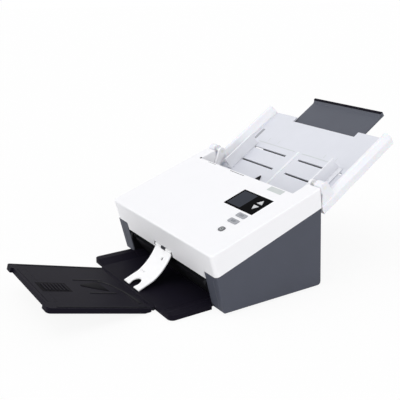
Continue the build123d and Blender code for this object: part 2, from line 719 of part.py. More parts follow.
def make_top_cover():
    """The white cover: front face, sloping top and sides over the casings."""
    outline = cover_outline()
    shell = prism(outline, (-HALF, HALF))
    corners = []
    for edge in shell.edges():
        centre = edge.center()
        if abs(abs(centre.X) - HALF) < 0.1 and centre.Y < PARTING_FRONT_Y - 1 and edge.length < 60:
            corners.append(edge)
    shell = fillet(corners, COVER_CORNER_ROUND)
    top = shell.faces().sort_by(lambda face: face.normal_at().Z)[-1]
    rim = [edge for edge in top.edges() if edge.center().Y < TOP.point(COVER_LENGTH)[0] - 1]
    shell = fillet(rim, COVER_TOP_ROUND)
    walls = [-OPEN_SIDE, COVER_WALL, COVER_WALL, COVER_WALL]
    hollow = prism(inset(outline, walls), (-HALF + COVER_WALL, HALF - COVER_WALL))
    recess_wall = block((-RECESS_HALF - COVER_WALL, RECESS_HALF + COVER_WALL),
                        (RECESS_Y - COVER_WALL, BASE_REAR + 20), (0, 250))
    shell -= hollow - recess_wall
    shell -= block((-RECESS_HALF, RECESS_HALF), (RECESS_Y, BASE_REAR + 20), (0, 250))
    seam = parting_z(PARTING_FRONT_Y) + COVER_SEAM
    lip = [(front_y(LIP_BOTTOM), LIP_BOTTOM), (front_y(LIP_BOTTOM) + COVER_WALL, LIP_BOTTOM),
           (front_y(seam + 4) + COVER_WALL, seam + 4), (front_y(seam + 4), seam + 4)]
    shell += prism(lip, (-LIP_HALF, LIP_HALF))
    shell -= block((-NOTCH_HALF, NOTCH_HALF), (PARTING_FRONT_Y - 10, FRAME_FRONT - 2), (LIP_BOTTOM - 1, NOTCH_TOP))
    through = (-COVER_WALL - 1, 1)
    shell -= TOP.block(PANEL_X, PANEL_S, (-PANEL_THICKNESS, 1))
    for size, corner, (x, s) in button_places().values():
        shell -= TOP.post(button_outline(size, corner, BUTTON_CLEAR), x, s, through)
    for turned, s in ((False, KEY_UP_S), (True, KEY_DOWN_S)):
        shell -= TOP.post(key_outline(turned, BUTTON_CLEAR), KEY_X, s, through)
    shell -= TOP.block(PLATE_X, PLATE_S, (-PLATE_DEPTH, 1))
    release = rod(RELEASE_RADIUS + BUTTON_CLEAR, (RELEASE_Y, RELEASE_Z), (-HALF - 1, -HALF + COVER_WALL + 1))
    return shell - release


def make_cover_frame():
    """The chassis inside the cover, with its hinge arms and the flap's brackets."""
    high = -COVER_WALL - GAP
    rear_s = (FRAME_REAR - COVER_EDGE_Y + high * TOP.sin) / TOP.cos
    front_s = (FRAME_FRONT - COVER_EDGE_Y + high * TOP.sin) / TOP.cos
    front_run = (FRAME_FRONT - BEND_Y + FRAME_ABOVE * RUN.sin) / RUN.cos
    rear_run = (FRAME_REAR - BEND_Y + FRAME_ABOVE * CHUTE.sin) / CHUTE.cos
    outline = [RUN.point(front_run, FRAME_ABOVE), bend_point(FRAME_ABOVE), CHUTE.point(rear_run, FRAME_ABOVE),
               TOP.point(rear_s, high), TOP.point(front_s, high)]
    frame = prism(outline, (-FRAME_HALF, FRAME_HALF))
    walls = [FRAME_WALL, FRAME_WALL, FRAME_WALL, -2 * OPEN_SIDE, FRAME_WALL]
    frame -= prism(inset(outline, walls), (-FRAME_HALF + FRAME_WALL, FRAME_HALF - FRAME_WALL))
    reach = (-2, 6)
    frame -= roller_windows(RUN, TRANSPORT_RUN, IDLER_RADIUS, tyre_spans(), reach)
    frame -= roller_windows(RUN, EXIT_RUN, IDLER_RADIUS, tyre_spans(), reach)
    feed = [(-FEED_TYRE_HALF, FEED_TYRE_HALF)]
    frame -= roller_windows(CHUTE, FEED_RUN, FEED_RADIUS, feed, reach)
    frame -= roller_windows(CHUTE, PICK_RUN, PICK_RADIUS, feed, reach)
    scan = SCAN_RUN + UPPER_SCAN_SHIFT
    frame -= RUN.block((-SCAN_HALF - GAP, SCAN_HALF + GAP),
                       (scan - SCAN_WIDTH / 2 - GAP, scan + SCAN_WIDTH / 2 + GAP), reach)
    frame -= TOP.block((FRAME_HALF - FRAME_WALL - 1, FRAME_HALF + 1), BOARD_S, (BUTTON_RELIEF, 0))
    for centre in (TRANSPORT_IDLER, EXIT_IDLER, FEED, PICK):
        frame -= rod(SHAFT_RADIUS + RUNNING, centre, (-FRAME_HALF - 1, FRAME_HALF + 1))
    for x in both(lambda side: span(side, FRAME_HALF - ARM_WIDTH, FRAME_HALF)):
        strap_front = HINGE_Y - 0.5
        strap_rear = FRAME_FRONT + FRAME_WALL
        strap = [(strap_front, HINGE_Z), (strap_rear, HINGE_Z + 4), (strap_rear, NOTCH_TOP), (strap_front, NOTCH_TOP)]
        frame += prism(strap, x) + rod(HINGE_EAR, HINGE, x)
        frame -= rod(HINGE_RADIUS + RUNNING, HINGE, (x[0] - 1, x[1] + 1))
    for x in both(lambda side: span(side, FLAP_HALF + FLAP_SIDE_GAP, FLAP_HALF + FLAP_SIDE_GAP + FLAP_BRACKET)):
        bracket = [(FLAP_PIN_Y, FLAP_PIN_Z - FLAP_BARREL), (FRAME_FRONT + 1, FLAP_PIN_Z - FLAP_BARREL),
                   (FRAME_FRONT + 1, FLAP_PIN_Z + FLAP_BARREL), (FLAP_PIN_Y, FLAP_PIN_Z + FLAP_BARREL)]
        frame += prism(bracket, x) + rod(FLAP_BARREL, FLAP_PIN, x)
        frame -= rod(FLAP_PIN_RADIUS + RUNNING, FLAP_PIN, (x[0] - 1, x[1] + 1))
    return frame


def make_display_panel():
    """The black glossy panel that holds the display and the two arrow keys."""
    panel = TOP.block((PANEL_X[0] + RUNNING, PANEL_X[1] - RUNNING), (PANEL_S[0] + RUNNING, PANEL_S[1] - RUNNING),
                      (-PANEL_THICKNESS, 0))
    panel -= TOP.block(LCD_X, LCD_S, (-LCD_THICKNESS, 1))
    for turned, s in ((False, KEY_UP_S), (True, KEY_DOWN_S)):
        panel -= TOP.post(key_outline(turned, BUTTON_CLEAR), KEY_X, s, (-PANEL_THICKNESS - 1, 1))
    return panel


def make_lcd():
    return TOP.block((LCD_X[0] + RUNNING, LCD_X[1] - RUNNING), (LCD_S[0] + RUNNING, LCD_S[1] - RUNNING),
                     (-LCD_THICKNESS, -RUNNING))


def make_button(outline, flange, x, s, proud):
    """A cap through the cover, a flange that stops it from below and a stem to its switch."""
    below = -COVER_WALL - GAP
    cap = TOP.post(outline, x, s, (below, proud))
    foot = TOP.post(flange, x, s, (below - FLANGE, below))
    stem = TOP.location * Pos(x, s, (below - FLANGE - STEM_REACH) / 2) * Cylinder(
        STEM_RADIUS, STEM_REACH + below - FLANGE)
    return cap + foot + stem


def make_push_button(name):
    size, corner, (x, s) = button_places()[name]
    outline = button_outline(size, corner)
    return make_button(outline, button_outline(size, corner, FLANGE), x, s, BUTTON_PROUD)


def make_arrow_key(turned, s):
    flange = RectangleRounded(KEY_WIDTH + 1, KEY_LENGTH, 2)
    return make_button(key_outline(turned), flange, KEY_X, s, BUTTON_PROUD / 2)


def make_control_board():
    """The keypad's circuit board on the posts that hold it to the cover's top."""
    high = -BOARD_DEPTH
    board = TOP.block(BOARD_X, BOARD_S, (high - BOARD_THICKNESS, high))
    tall = -COVER_WALL - high
    for x, s in ((BOARD_X[0] + 12, BOARD_S[0] + 8), (BOARD_X[0] + 12, BOARD_S[0] + 44),
                 (BOARD_X[1] - 4, POWER_BUTTON[1] + 12), (BOARD_X[1] - 24, BOARD_S[0] + 8)):
        board += TOP.location * Pos(x, s, high + tall / 2) * Cylinder(2.2, tall)
    return board


def make_blank_plate():
    return TOP.block((PLATE_X[0] + RUNNING, PLATE_X[1] - RUNNING), (PLATE_S[0] + RUNNING, PLATE_S[1] - RUNNING),
                     (-PLATE_DEPTH, 0))


def make_release_button():
    """A round push in the left side of the cover, with a flange behind the wall."""
    centre = (RELEASE_Y, RELEASE_Z)
    face = -HALF + GAP
    cap = rod(RELEASE_RADIUS, centre, (face, face + RELEASE_LENGTH))
    behind = -HALF + COVER_WALL + GAP
    return cap + rod(RELEASE_RADIUS + FLANGE, centre, (behind, behind + FLANGE))


def flap_normal():
    """The way the flap's back faces at its pin, and the way the flap runs down from there."""
    middle = (FLAP_MIDDLE[0] - FLAP_PIN_Y, FLAP_MIDDLE[1] - FLAP_PIN_Z)
    kink = (FLAP_KINK[0] - FLAP_PIN_Y, FLAP_KINK[1] - FLAP_PIN_Z)
    cross = 2 * (middle[0] * kink[1] - middle[1] * kink[0])
    near = middle[0] ** 2 + middle[1] ** 2
    far = kink[0] ** 2 + kink[1] ** 2
    centre = ((near * kink[1] - far * middle[1]) / cross, (far * middle[0] - near * kink[0]) / cross)
    radius = math.hypot(*centre)
    back = (-centre[0] / radius, -centre[1] / radius)
    return back, (back[1], -back[0])


def make_flap_pin():
    """The flap's pin, with the flat arm behind the flap that swings it as the cover opens."""
    reach = FLAP_HALF + FLAP_SIDE_GAP + FLAP_BRACKET
    back, down = flap_normal()
    near = FLAP_THICKNESS / 2 + PIN_ARM_GAP
    hub = near + PIN_ARM_THICKNESS
    outline = []
    for along, off in ((0, 0), (0, hub), (PIN_ARM_LENGTH, hub), (PIN_ARM_LENGTH, near), (hub, near), (hub, 0)):
        outline.append((FLAP_PIN_Y + down[0] * along + back[0] * off, FLAP_PIN_Z + down[1] * along + back[1] * off))
    arm = (-PIN_ARM_HALF, PIN_ARM_HALF)
    return rod(FLAP_PIN_RADIUS, FLAP_PIN, (-reach, reach)) + rod(hub, FLAP_PIN, arm) + prism(outline, arm)


def make_flap():
    """The curved paper hold-down that hangs from the exit and rests on the output tray."""
    curve = ThreePointArc(FLAP_PIN, FLAP_MIDDLE, FLAP_KINK)
    blade = Line(FLAP_KINK, FLAP_TIP)
    ribbon = offset(Wire([curve.edge(), blade.edge()]), FLAP_THICKNESS / 2, side=Side.BOTH)
    flap = sweep_x(make_face(ribbon), (-FLAP_HALF, FLAP_HALF))
    flap += rod(FLAP_BARREL, FLAP_PIN, (-FLAP_HALF, FLAP_HALF))
    flap -= rod(FLAP_PIN_RADIUS + RUNNING, FLAP_PIN, (-FLAP_HALF - 1, FLAP_HALF + 1))
    middle = PIN_ARM_HALF + FLAP_SIDE_GAP
    flap -= rod(FLAP_BARREL + FLAP_SIDE_GAP, FLAP_PIN, (-middle, middle))
    tip = FLAP_TIP[0]
    notch_centre = tip + FLAP_NOTCH_DEPTH - FLAP_NOTCH_HALF
    mouth = FLAP_NOTCH_HALF - FLAP_NOTCH_LIP
    flap -= block((-mouth, mouth), (tip - 5, notch_centre), (0, 30))
    flap -= Pos(0, notch_centre, 15) * Cylinder(FLAP_NOTCH_HALF, 30)
    for x, y, radius in FLAP_HOLES:
        flap -= Pos(x, y, 30) * Cylinder(radius, 50)
    return flap


def make_input_tray():
    """The white plate that the stack of sheets leans on, with slots for the paper guides."""
    plate = TRAY.block((-TRAY_HALF, TRAY_HALF), (TRAY_START, TRAY_LENGTH), (-TRAY_THICKNESS, 0))
    plate -= TRAY.block((-TRAY_NOTCH_HALF, TRAY_NOTCH_HALF), (TRAY_NOTCH_START, TRAY_LENGTH + 1), (-10, 10))
    for middle in (SLOT_NEAR, SLOT_FAR):
        for x in both(lambda side: span(side, SLOT_INNER, SLOT_OUTER)):
            plate -= TRAY.block(x, (middle - SLOT_WIDTH / 2, middle + SLOT_WIDTH / 2), (-10, 10))
    axle = TRAY.location * Pos(0, PINION_T, (RACK_BOTTOM - TRAY_THICKNESS) / 2)
    return plate + axle * Cylinder(SHAFT_RADIUS, -RACK_BOTTOM - TRAY_THICKNESS)


def rail_profile(side, wall=0.0):
    """A rail's section across the slope as (x, h) points, less a wall all round."""
    inner = TRAY_HALF + wall
    outer = HALF - wall
    crown = (inner + outer) / 2 + 1
    lean = 3.0
    points = [(inner, -RAIL_BELOW - (1 if wall else 0)), (outer, -RAIL_BELOW - (1 if wall else 0)),
              (outer, RAIL_SHOULDER - wall), (crown + lean, RAIL_CROWN - wall), (crown - lean, RAIL_CROWN - wall),
              (inner, RAIL_SHOULDER / 2 - wall)]
    return [(side * x, h) for x, h in points]


def make_rail(side):
    """A side rail of the input tray, hollow below, with the ear that it folds on."""
    across = TRAY.location * Pos(0, RAIL_START, 0) * Rot(-90, 0, 0)
    length = TRAY_LENGTH - RAIL_START
    outline = [(x, -h) for x, h in rail_profile(side)]
    rail = extrude(outline_face(outline), length)
    long_edges = []
    for edge in rail.edges():
        centre = edge.center()
        if abs(edge.length - length) < 0.1 and -centre.Y > RAIL_SHOULDER / 2 - 0.1:
            long_edges.append(edge)
    rail = fillet(long_edges, RAIL_ROUND)
    far = [edge for edge in rail.edges() if edge.center().Z > length - 0.01]
    rail = across * fillet(far, RAIL_END_ROUND)
    hollow = [(x, -h) for x, h in rail_profile(side, RAIL_WALL)]
    rail -= across * Pos(0, 0, RAIL_WALL * 4) * extrude(outline_face(hollow), length - RAIL_WALL * 5)
    pivot = TRAY.local(*TRAY_PIVOT)
    ear_x = span(side, TRAY_HALF + TRAY_EAR_INSET, HALF - TRAY_EAR_INSET)
    web = TRAY.outline([(0.0, RAIL_SHOULDER), (pivot[0] + TRAY_EAR, RAIL_SHOULDER),
                        (pivot[0] + TRAY_EAR, pivot[1]), (pivot[0] - TRAY_EAR, pivot[1])])
    rail += prism(web, ear_x) + rod(TRAY_EAR, TRAY_PIVOT, ear_x)
    front = block(span(side, TRAY_HALF - 2, HALF + 2), (0, RAIL_REAR_CLEAR), (0, TRAY_PIVOT_Z - TRAY_EAR))
    rail -= front
    return rail - rod(TRAY_PIN_RADIUS + RUNNING, TRAY_PIVOT, span(side, TRAY_HALF - 1, HALF + 1))


def make_tray_posts():
    """The two posts on the casings that the input tray folds on."""
    posts = []
    foot = [(74.0, parting_z(74.0) + RUNNING), (86.0, parting_z(86.0) + RUNNING)]
    outline = foot + [(TRAY_PIVOT_Y + POST_RADIUS - 1, TRAY_PIVOT_Z - 4), (TRAY_PIVOT_Y - POST_RADIUS, TRAY_PIVOT_Z)]
    for x in both(lambda side: span(side, POST_INNER, POST_INNER + POST_WIDTH)):
        post = prism(outline, x) + rod(POST_RADIUS, TRAY_PIVOT, x)
        posts.append(post - rod(TRAY_PIN_RADIUS, TRAY_PIVOT, (x[0] - 1, x[1] + 1)))
    return posts


def make_tray_pins():
    return both(lambda side: rod(TRAY_PIN_RADIUS, TRAY_PIVOT, span(side, POST_INNER, HALF - TRAY_EAR_INSET)))


def make_tray_channel():
    """The shell under the input tray that the extension slides in."""
    inside = EXTENSION_HALF + GAP
    top = EXTENSION_SURFACE - EXTENSION_THICKNESS - GAP
    s = (CHANNEL_START, CHANNEL_END)
    channel = TRAY.block((-inside - CHANNEL_WALL, inside + CHANNEL_WALL), s, (top - CHANNEL_THICKNESS, top))
    for x in both(lambda side: span(side, inside, inside + CHANNEL_WALL)):
        low_wall = TRAY.block(x, s, (top - CHANNEL_THICKNESS, -TRAY_THICKNESS - RUNNING))
        for middle in (SLOT_NEAR, SLOT_FAR):
            reach = (middle - RACK_MODULE * 4, middle + RACK_MODULE * 4)
            low_wall -= TRAY.block((x[0] - 1, x[1] + 1), reach, (RACK_BOTTOM - GAP, 0))
        channel += low_wall
    return channel


def make_input_extension():
    """The dark plate that slides out of the input tray, with a rolled lip at its end."""
    surface = EXTENSION_SURFACE
    x = (-EXTENSION_HALF, EXTENSION_HALF)
    plate = TRAY.block(x, (EXTENSION_START, EXTENSION_END), (surface - EXTENSION_THICKNESS, surface))
    lip = TRAY.block(x, (EXTENSION_END - EXTENSION_LIP_WIDTH, EXTENSION_END), (surface, surface + EXTENSION_LIP))
    return plate + lip


def rack_outline(low, high, toothed, sign):
    """A rack bar from low x to high x, whose teeth stand out on one side of it."""
    pitch = math.pi * RACK_MODULE
    deep = 1.25 * RACK_MODULE
    back = SLOT_WIDTH / 2 - SLOT_PLAY
    bar = [(low, -sign * back), (high, -sign * back), (high, sign * toothed), (low, sign * toothed)]
    teeth = []
    count = int((high - low) / pitch)
    first = math.ceil((low + pitch) / pitch - 0.5) + 0.5
    for i in range(count - 1):
        x = (first + i) * pitch
        if x + pitch / 2 < high:
            foot = sign * (toothed - 0.1)
            tip = sign * (toothed + deep + 0.8 * RACK_MODULE)
            teeth.append([(x - 1.25, foot), (x + 1.25, foot), (x + 0.55, tip), (x - 0.55, tip)])
    return bar, teeth


def make_guide(side):
    """A paper guide: its wall, foot, two posts through the tray and the rack below it."""
    wall_x = span(side, GUIDE_REST, GUIDE_REST + GUIDE_WALL)
    guide = TRAY.block(wall_x, (GUIDE_START, GUIDE_END), (GAP, GUIDE_HEIGHT))
    foot_x = span(side, GUIDE_REST, GUIDE_REST + GUIDE_WALL + GUIDE_FOOT)
    guide += TRAY.block(foot_x, (GUIDE_START, GUIDE_END), (GAP, GAP + 1.8))
    post_x = span(side, GUIDE_REST, GUIDE_REST + GUIDE_POST)
    on_near = side < 0
    middle, other = (SLOT_NEAR, SLOT_FAR) if on_near else (SLOT_FAR, SLOT_NEAR)
    for place, low in ((middle, RACK_BOTTOM), (other, -TRAY_THICKNESS)):
        post = (place - SLOT_WIDTH / 2 + SLOT_PLAY, place + SLOT_WIDTH / 2 - SLOT_PLAY)
        guide += TRAY.block(post_x, post, (low, GAP + 1))
    reach = abs(PINION_T - middle)
    sign = 1 if on_near else -1
    toothed = reach - PINION_RADIUS - 1.25 * RACK_MODULE
    tail, root = sorted((-side * RACK_TAIL, side * (GUIDE_REST + GUIDE_POST)))
    bar, teeth = rack_outline(tail, root, toothed, sign)
    for outline in [bar] + teeth:
        guide += TRAY.post(outline_face(outline), 0, middle, (RACK_BOTTOM, RACK_TOP))
    return guide


def make_pinion():
    """The toothed wheel under the tray that makes both guides move alike."""
    root = PINION_RADIUS - 1.25 * RACK_MODULE
    tip = PINION_RADIUS + 0.8 * RACK_MODULE
    wheel = Circle(root)
    for i in range(PINION_TEETH):
        tooth = outline_face([(-1.2, root - 0.5), (1.2, root - 0.5), (0.5, tip), (-0.5, tip)])
        wheel += Rot(0, 0, 360 / PINION_TEETH * i) * tooth
    wheel -= Circle(SHAFT_RADIUS + RUNNING)
    return TRAY.post(wheel, 0, PINION_T, (RACK_BOTTOM, RACK_TOP))


def tray_section(half, shelf_half, floor_half, y):
    """The output tray's section across the machine between two y: a floor and two side shelves."""
    points = [(-half, OUT_BOTTOM), (half, OUT_BOTTOM), (half, OUT_SHELF), (shelf_half, OUT_SHELF),
              (floor_half, OUT_FLOOR), (-floor_half, OUT_FLOOR), (-shelf_half, OUT_SHELF), (-half, OUT_SHELF)]
    section = Plane(origin=(0, y[1], 0), x_dir=(1, 0, 0), z_dir=(0, -1, 0)).location
    return section * extrude(outline_face(points), y[1] - y[0])


def make_output_tray():
    """The dark tray in front of the exit, with lugs for its extension."""
    outer = tray_section(OUT_HALF, OUT_SHELF_HALF, OUT_FLOOR_HALF, (OUT_FRONT, OUT_SHOULDER))
    corners = [edge for edge in outer.edges().filter_by(Axis.Z)
               if edge.center().Y < OUT_FRONT + 1 and abs(edge.center().X) > OUT_HALF - 1]
    outer = fillet(corners, OUT_CORNER)
    tray = outer + tray_section(PLATE_FIT, OUT_SHELF_HALF - 4, OUT_FLOOR_HALF, (OUT_SHOULDER, OUT_REAR))
    tray += block((-OUT_FLOOR_HALF, OUT_FLOOR_HALF), (OUT_REAR, OUT_REAR + OUT_TONGUE),
                  (OUT_BOTTOM, PAN_BOTTOM - RUNNING))
    for x in lug_spans():
        tray += rod(OUT_BARREL, OUT_PIN, x)
        tray += block(x, (OUT_PIN_Y, OUT_FRONT + 1), (OUT_PIN_Z - OUT_BARREL, OUT_PIN_Z))
        tray -= rod(OUT_PIN_RADIUS + RUNNING, OUT_PIN, (x[0] - 1, x[1] + 1))
    return tray


def lug_spans():
    return both(lambda side: span(side, OUT_LUG, OUT_LUG + OUT_LUG_WIDTH))


def make_output_pin():
    return rod(OUT_PIN_RADIUS, OUT_PIN, (-STACK_HALF + 2, STACK_HALF - 2))


def make_output_extension():
    """The long dark plate hinged in front of the output tray, with skirts and end tabs."""
    solid = STACK.block((-STACK_HALF, STACK_HALF), (-STACK_LENGTH - STACK_TAB, 0), (-STACK_SKIRT, 0))
    corners = [edge for edge in solid.edges() if abs(edge.length - STACK_SKIRT) < 0.01]
    far = sorted(corners, key=lambda edge: edge.center().Y)[:2]
    solid = fillet(far, STACK_ROUND)
    tabs = STACK_HALF - STACK_TAB_WIDTH
    solid -= STACK.block((-tabs, tabs), (-STACK_LENGTH - STACK_TAB - 1, -STACK_LENGTH), (-STACK_SKIRT - 1, 1))
    solid -= STACK.block((-STACK_HALF + STACK_SKIN, STACK_HALF - STACK_SKIN), (-STACK_LENGTH + STACK_SKIN, 1),
                         (-STACK_SKIRT - 1, -STACK_SKIN))
    stop = STOP_HALF + GAP
    solid -= STACK.block((-stop, stop), stop_span(GAP), (-STACK_SKIN - 1, 1))
    boss = (STOP_HALF - STOP_INSET, STOP_HALF + 6)
    for x in both(lambda side: span(side, STOP_HALF + GAP, boss[1])):
        solid += STACK.block(x, (stop_axle()[0] - 3, stop_axle()[0] + 3), (-STACK_SKIN * 2, 0))
    axle = STACK.point(*stop_axle())
    solid -= rod(STOP_AXLE + RUNNING, axle, (-STOP_HALF - 4, STOP_HALF + 4))
    solid -= block((-STACK_HALF - 1, STACK_HALF + 1), (-400, 0), (-20, OUT_BOTTOM))
    solid += knuckles()
    for x in lug_spans():
        wide = (x[0] - GAP, x[1] + GAP)
        solid -= block(wide, (OUT_PIN_Y - OUT_BARREL - GAP, OUT_PIN_Y + 5), (0, 20))
    for i in range(STACK_GRIP_RIBS):
        rib = -STACK_GRIP_START + i * STACK_GRIP_PITCH
        solid += STACK.block(STACK_GRIP_X, (rib - STACK_GRIP_HALF, rib + STACK_GRIP_HALF), (-1, STACK_GRIP_PROUD))
    return solid - rod(OUT_PIN_RADIUS + RUNNING, OUT_PIN, (-STACK_HALF, STACK_HALF))


def knuckles():
    """The hinge barrel of the output extension."""
    half = STACK_HALF - 1.5
    neck = block((-half, half), (STACK_FOOT_Y - 3, OUT_PIN_Y), (STACK_FOOT_Z - 3.0, STACK_FOOT_Z + 0.6))
    return rod(OUT_BARREL, OUT_PIN, (-half, half)) + neck


def stop_axle():
    """Where the paper stop turns, as (s, h) on the extension."""
    return (-STACK_LENGTH + STACK_SKIN + STOP_INSET + STOP_AXLE, -STOP_THICKNESS / 2)


def stop_span(spare=0.0):
    low = stop_axle()[0] - STOP_THICKNESS / 2 - spare
    return (low, low + STOP_DEPTH + 2 * spare)


def make_paper_stop():
    """The stop at the far end of the output extension, folded flat."""
    s = stop_span()
    blade = STACK.block((-STOP_HALF, STOP_HALF), (stop_axle()[0], s[1]), (-STOP_THICKNESS, 0))
    axle = STACK.point(*stop_axle())
    blade += rod(STOP_THICKNESS / 2, axle, (-STOP_HALF, STOP_HALF))
    return blade + rod(STOP_AXLE, axle, (-STOP_HALF - 3.5, STOP_HALF + 3.5))


def make_all():
    """Every node by name, each a solid or a list of solids."""
    return {
        "base_pan": make_base_pan(),
        "left_casing": make_casing(-1),
        "right_casing": make_casing(1),
        "left_side_plate": make_side_plate(-1),
        "right_side_plate": make_side_plate(1),
        "rear_panel": make_rear_panel(),
        "rear_screws": make_rear_screws(),
        "rubber_feet": make_feet(),
        "power_inlet": make_power_inlet(),
        "usb_port": make_usb_port(),
        "main_board": make_main_board(),
        "lower_paper_guide": make_lower_guide(),
        "front_cowl": make_front_cowl(),
        "lower_scan_sensor": make_scan_module(0.0, -1),
        "lower_scan_glass": make_scan_glass(0.0, -1),
        "sensor_cross_bar": make_scan_brackets(),
        "drive_motor": make_motor(),
        "motor_shaft": make_motor_shaft(),
        "drive_belt": make_belt(),
        "transport_shaft": make_driven_shaft(TRANSPORT, INNER + 2),
        "transport_tyres": make_tyres(TRANSPORT, DRIVE_RADIUS),
        "exit_shaft": make_driven_shaft(EXIT, INNER + 2),
        "exit_tyres": make_tyres(EXIT, DRIVE_RADIUS),
        "separation_roller": make_feed_wheel(SEPARATION, FEED_RADIUS, INNER + 2),
        "cover_hinge_pins": make_hinge_pins(),
        "top_cover": make_top_cover(),
        "cover_frame": make_cover_frame(),
        "feed_roller": make_feed_wheel(FEED, FEED_RADIUS, FRAME_HALF),
        "pick_roller": make_feed_wheel(PICK, PICK_RADIUS, FRAME_HALF),
        "transport_idler": make_idler(TRANSPORT_IDLER),
        "exit_idler": make_idler(EXIT_IDLER),
        "upper_scan_sensor": make_scan_module(UPPER_SCAN_SHIFT, 1),
        "upper_scan_glass": make_scan_glass(UPPER_SCAN_SHIFT, 1),
        "display_panel": make_display_panel(),
        "lcd_window": make_lcd(),
        "up_key": make_arrow_key(False, KEY_UP_S),
        "down_key": make_arrow_key(True, KEY_DOWN_S),
        "scan_button": make_push_button("scan_button"),
        "mode_button": make_push_button("mode_button"),
        "power_button": make_push_button("power_button"),
        "control_board": make_control_board(),
        "blank_plate": make_blank_plate(),
        "release_button": make_release_button(),
        "flap_pin": make_flap_pin(),
        "paper_flap": make_flap(),
        "tray_posts": make_tray_posts(),
        "tray_hinge_pins": make_tray_pins(),
        "input_tray": make_input_tray(),
        "left_rail": make_rail(-1),
        "right_rail": make_rail(1),
        "tray_channel": make_tray_channel(),
        "left_paper_guide": make_guide(-1),
        "right_paper_guide": make_guide(1),
        "guide_pinion": make_pinion(),
        "input_extension": make_input_extension(),
        "output_tray": make_output_tray(),
        "output_hinge_pin": make_output_pin(),
        "output_extension": make_output_extension(),
        "paper_stop": make_paper_stop(),
    }


def main():
    os.makedirs("parts", exist_ok=True)
    for name, made in make_all().items():
        solids = made if isinstance(made, list) else made.solids()
        solids = [piece for item in solids for piece in item.solids()]
        moved = [Pos(0, SHIFT_Y, 0) * solid for solid in solids]
        whole = moved[0] if len(moved) == 1 else Compound(children=moved)
        export_step(whole, f"parts/{name}.step")


if __name__ == "__main__":
    main()
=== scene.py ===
"""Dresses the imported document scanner: finishes for every CAD node, small pieces, floor, light and camera."""

import math

import bmesh
import bpy
from bpy.props import FloatProperty, PointerProperty, StringProperty
from mathutils import Matrix, Vector


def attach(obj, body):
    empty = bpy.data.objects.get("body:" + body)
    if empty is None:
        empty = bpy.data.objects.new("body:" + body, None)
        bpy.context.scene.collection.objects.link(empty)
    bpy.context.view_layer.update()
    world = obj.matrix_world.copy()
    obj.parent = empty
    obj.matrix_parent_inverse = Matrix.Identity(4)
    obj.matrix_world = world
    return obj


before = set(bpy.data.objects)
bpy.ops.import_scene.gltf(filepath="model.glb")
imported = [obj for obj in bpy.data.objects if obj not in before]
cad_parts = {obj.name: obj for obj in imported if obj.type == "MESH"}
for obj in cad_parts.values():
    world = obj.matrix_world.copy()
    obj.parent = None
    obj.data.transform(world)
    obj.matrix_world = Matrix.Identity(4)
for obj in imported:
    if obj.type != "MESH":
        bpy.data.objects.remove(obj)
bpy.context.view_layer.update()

bl_info = {
    "name": "Document scanner dressing",
    "version": (1, 0, 0),
    "blender": (4, 5, 0),
    "location": "3D View > Sidebar > Scanner",
    "description": "Finishes and small pieces of a sheet-fed document scanner",
    "category": "Object",
}

MM = 0.001
# The CAD frame is centred on the whole machine, so its Y is this far from the body's own.
BODY_TO_ROW = 24.3164
FACET_ANGLE = math.radians(32)
BEVEL_SEGMENTS = 2
DISC_SIDES = 40
# How far the edges of added pieces are rounded, in millimetres: print isn't.
PRINT_EDGE = 0
FINE_EDGE = 0.1
LOW_EDGE = 0.15
PLATE_EDGE = 0.2
RIDGE_EDGE = 0.3
LEVER_EDGE = 0.4
# Added pieces reach this far into the surface that they stand on.
SUNK = 0.1
# How deep a moulded pit is, as a share of its width.
PIT_SHARE = 0.2
# How far a polished surface swells between its ripples, in metres.
RIPPLE_HEIGHT = 0.0004
# Radians in a turn, by which the wave textures count their bands.
TURN = 6.283


class Slope:
    """A sloping face of the machine: local x across, y up the slope and z off it, all in millimetres."""

    def __init__(self, foot_y, foot_z, degrees):
        turn = Matrix.Rotation(math.radians(degrees), 4, "X")
        foot = Matrix.Translation((0, (foot_y + BODY_TO_ROW) * MM, foot_z * MM))
        self.matrix = foot @ turn @ Matrix.Scale(MM, 4)


# The faces that the added pieces stand on: the foot's Y and height, and the slope in degrees.
COVER_TOP = Slope(-118.8, 99.0, 18.9)
INPUT_TRAY = Slope(95.5, 129.2, 33.6)
OUTPUT_EXTENSION = Slope(-178.0, 6.0, -15.8)
REAR = Slope(95.4, 0.0, 90.0)
CASING_FRONT = Slope(-94.0, 3.0, 103.7)
BODY_HALF = 158.0
# The input extension: its lip's two edges up the tray's slope, and its surface's height over the tray's.
INPUT_LIP_Y = 223.0
INPUT_LIP_END = 227.0
INPUT_SURFACE = -6.5


def linear(hex_colour):
    """An sRGB hex colour as the linear RGBA that the shaders take."""
    channels = [int(hex_colour[i:i + 2], 16) / 255 for i in (1, 3, 5)]
    return [c / 12.92 if c <= 0.04045 else ((c + 0.055) / 1.055) ** 2.4 for c in channels] + [1.0]


def shade(hex_colour, factor):
    """The same hex colour, lighter or darker."""
    channels = [min(255, round(int(hex_colour[i:i + 2], 16) * factor)) for i in (1, 3, 5)]
    return "#" + "".join(f"{c:02X}" for c in channels)


def add_node(tree, kind, inputs=None, **settings):
    """A new node with its settings, and its inputs set or linked."""
    node = tree.nodes.new(kind)
    for name, value in settings.items():
        setattr(node, name, value)
    for name, value in (inputs or {}).items():
        if isinstance(value, bpy.types.NodeSocket):
            tree.links.new(value, node.inputs[name])
        else:
            node.inputs[name].default_value = value
    return node


def new_material(name):
    """An empty node material with its object coordinates in metres and its Principled shader."""
    material = bpy.data.materials.new(name)
    material.use_nodes = True
    tree = material.node_tree
    tree.nodes.clear()
    shader = add_node(tree, "ShaderNodeBsdfPrincipled")
    add_node(tree, "ShaderNodeOutputMaterial", {"Surface": shader.outputs["BSDF"]})
    place = add_node(tree, "ShaderNodeTexCoord").outputs["Object"]
    return material, tree, shader, place


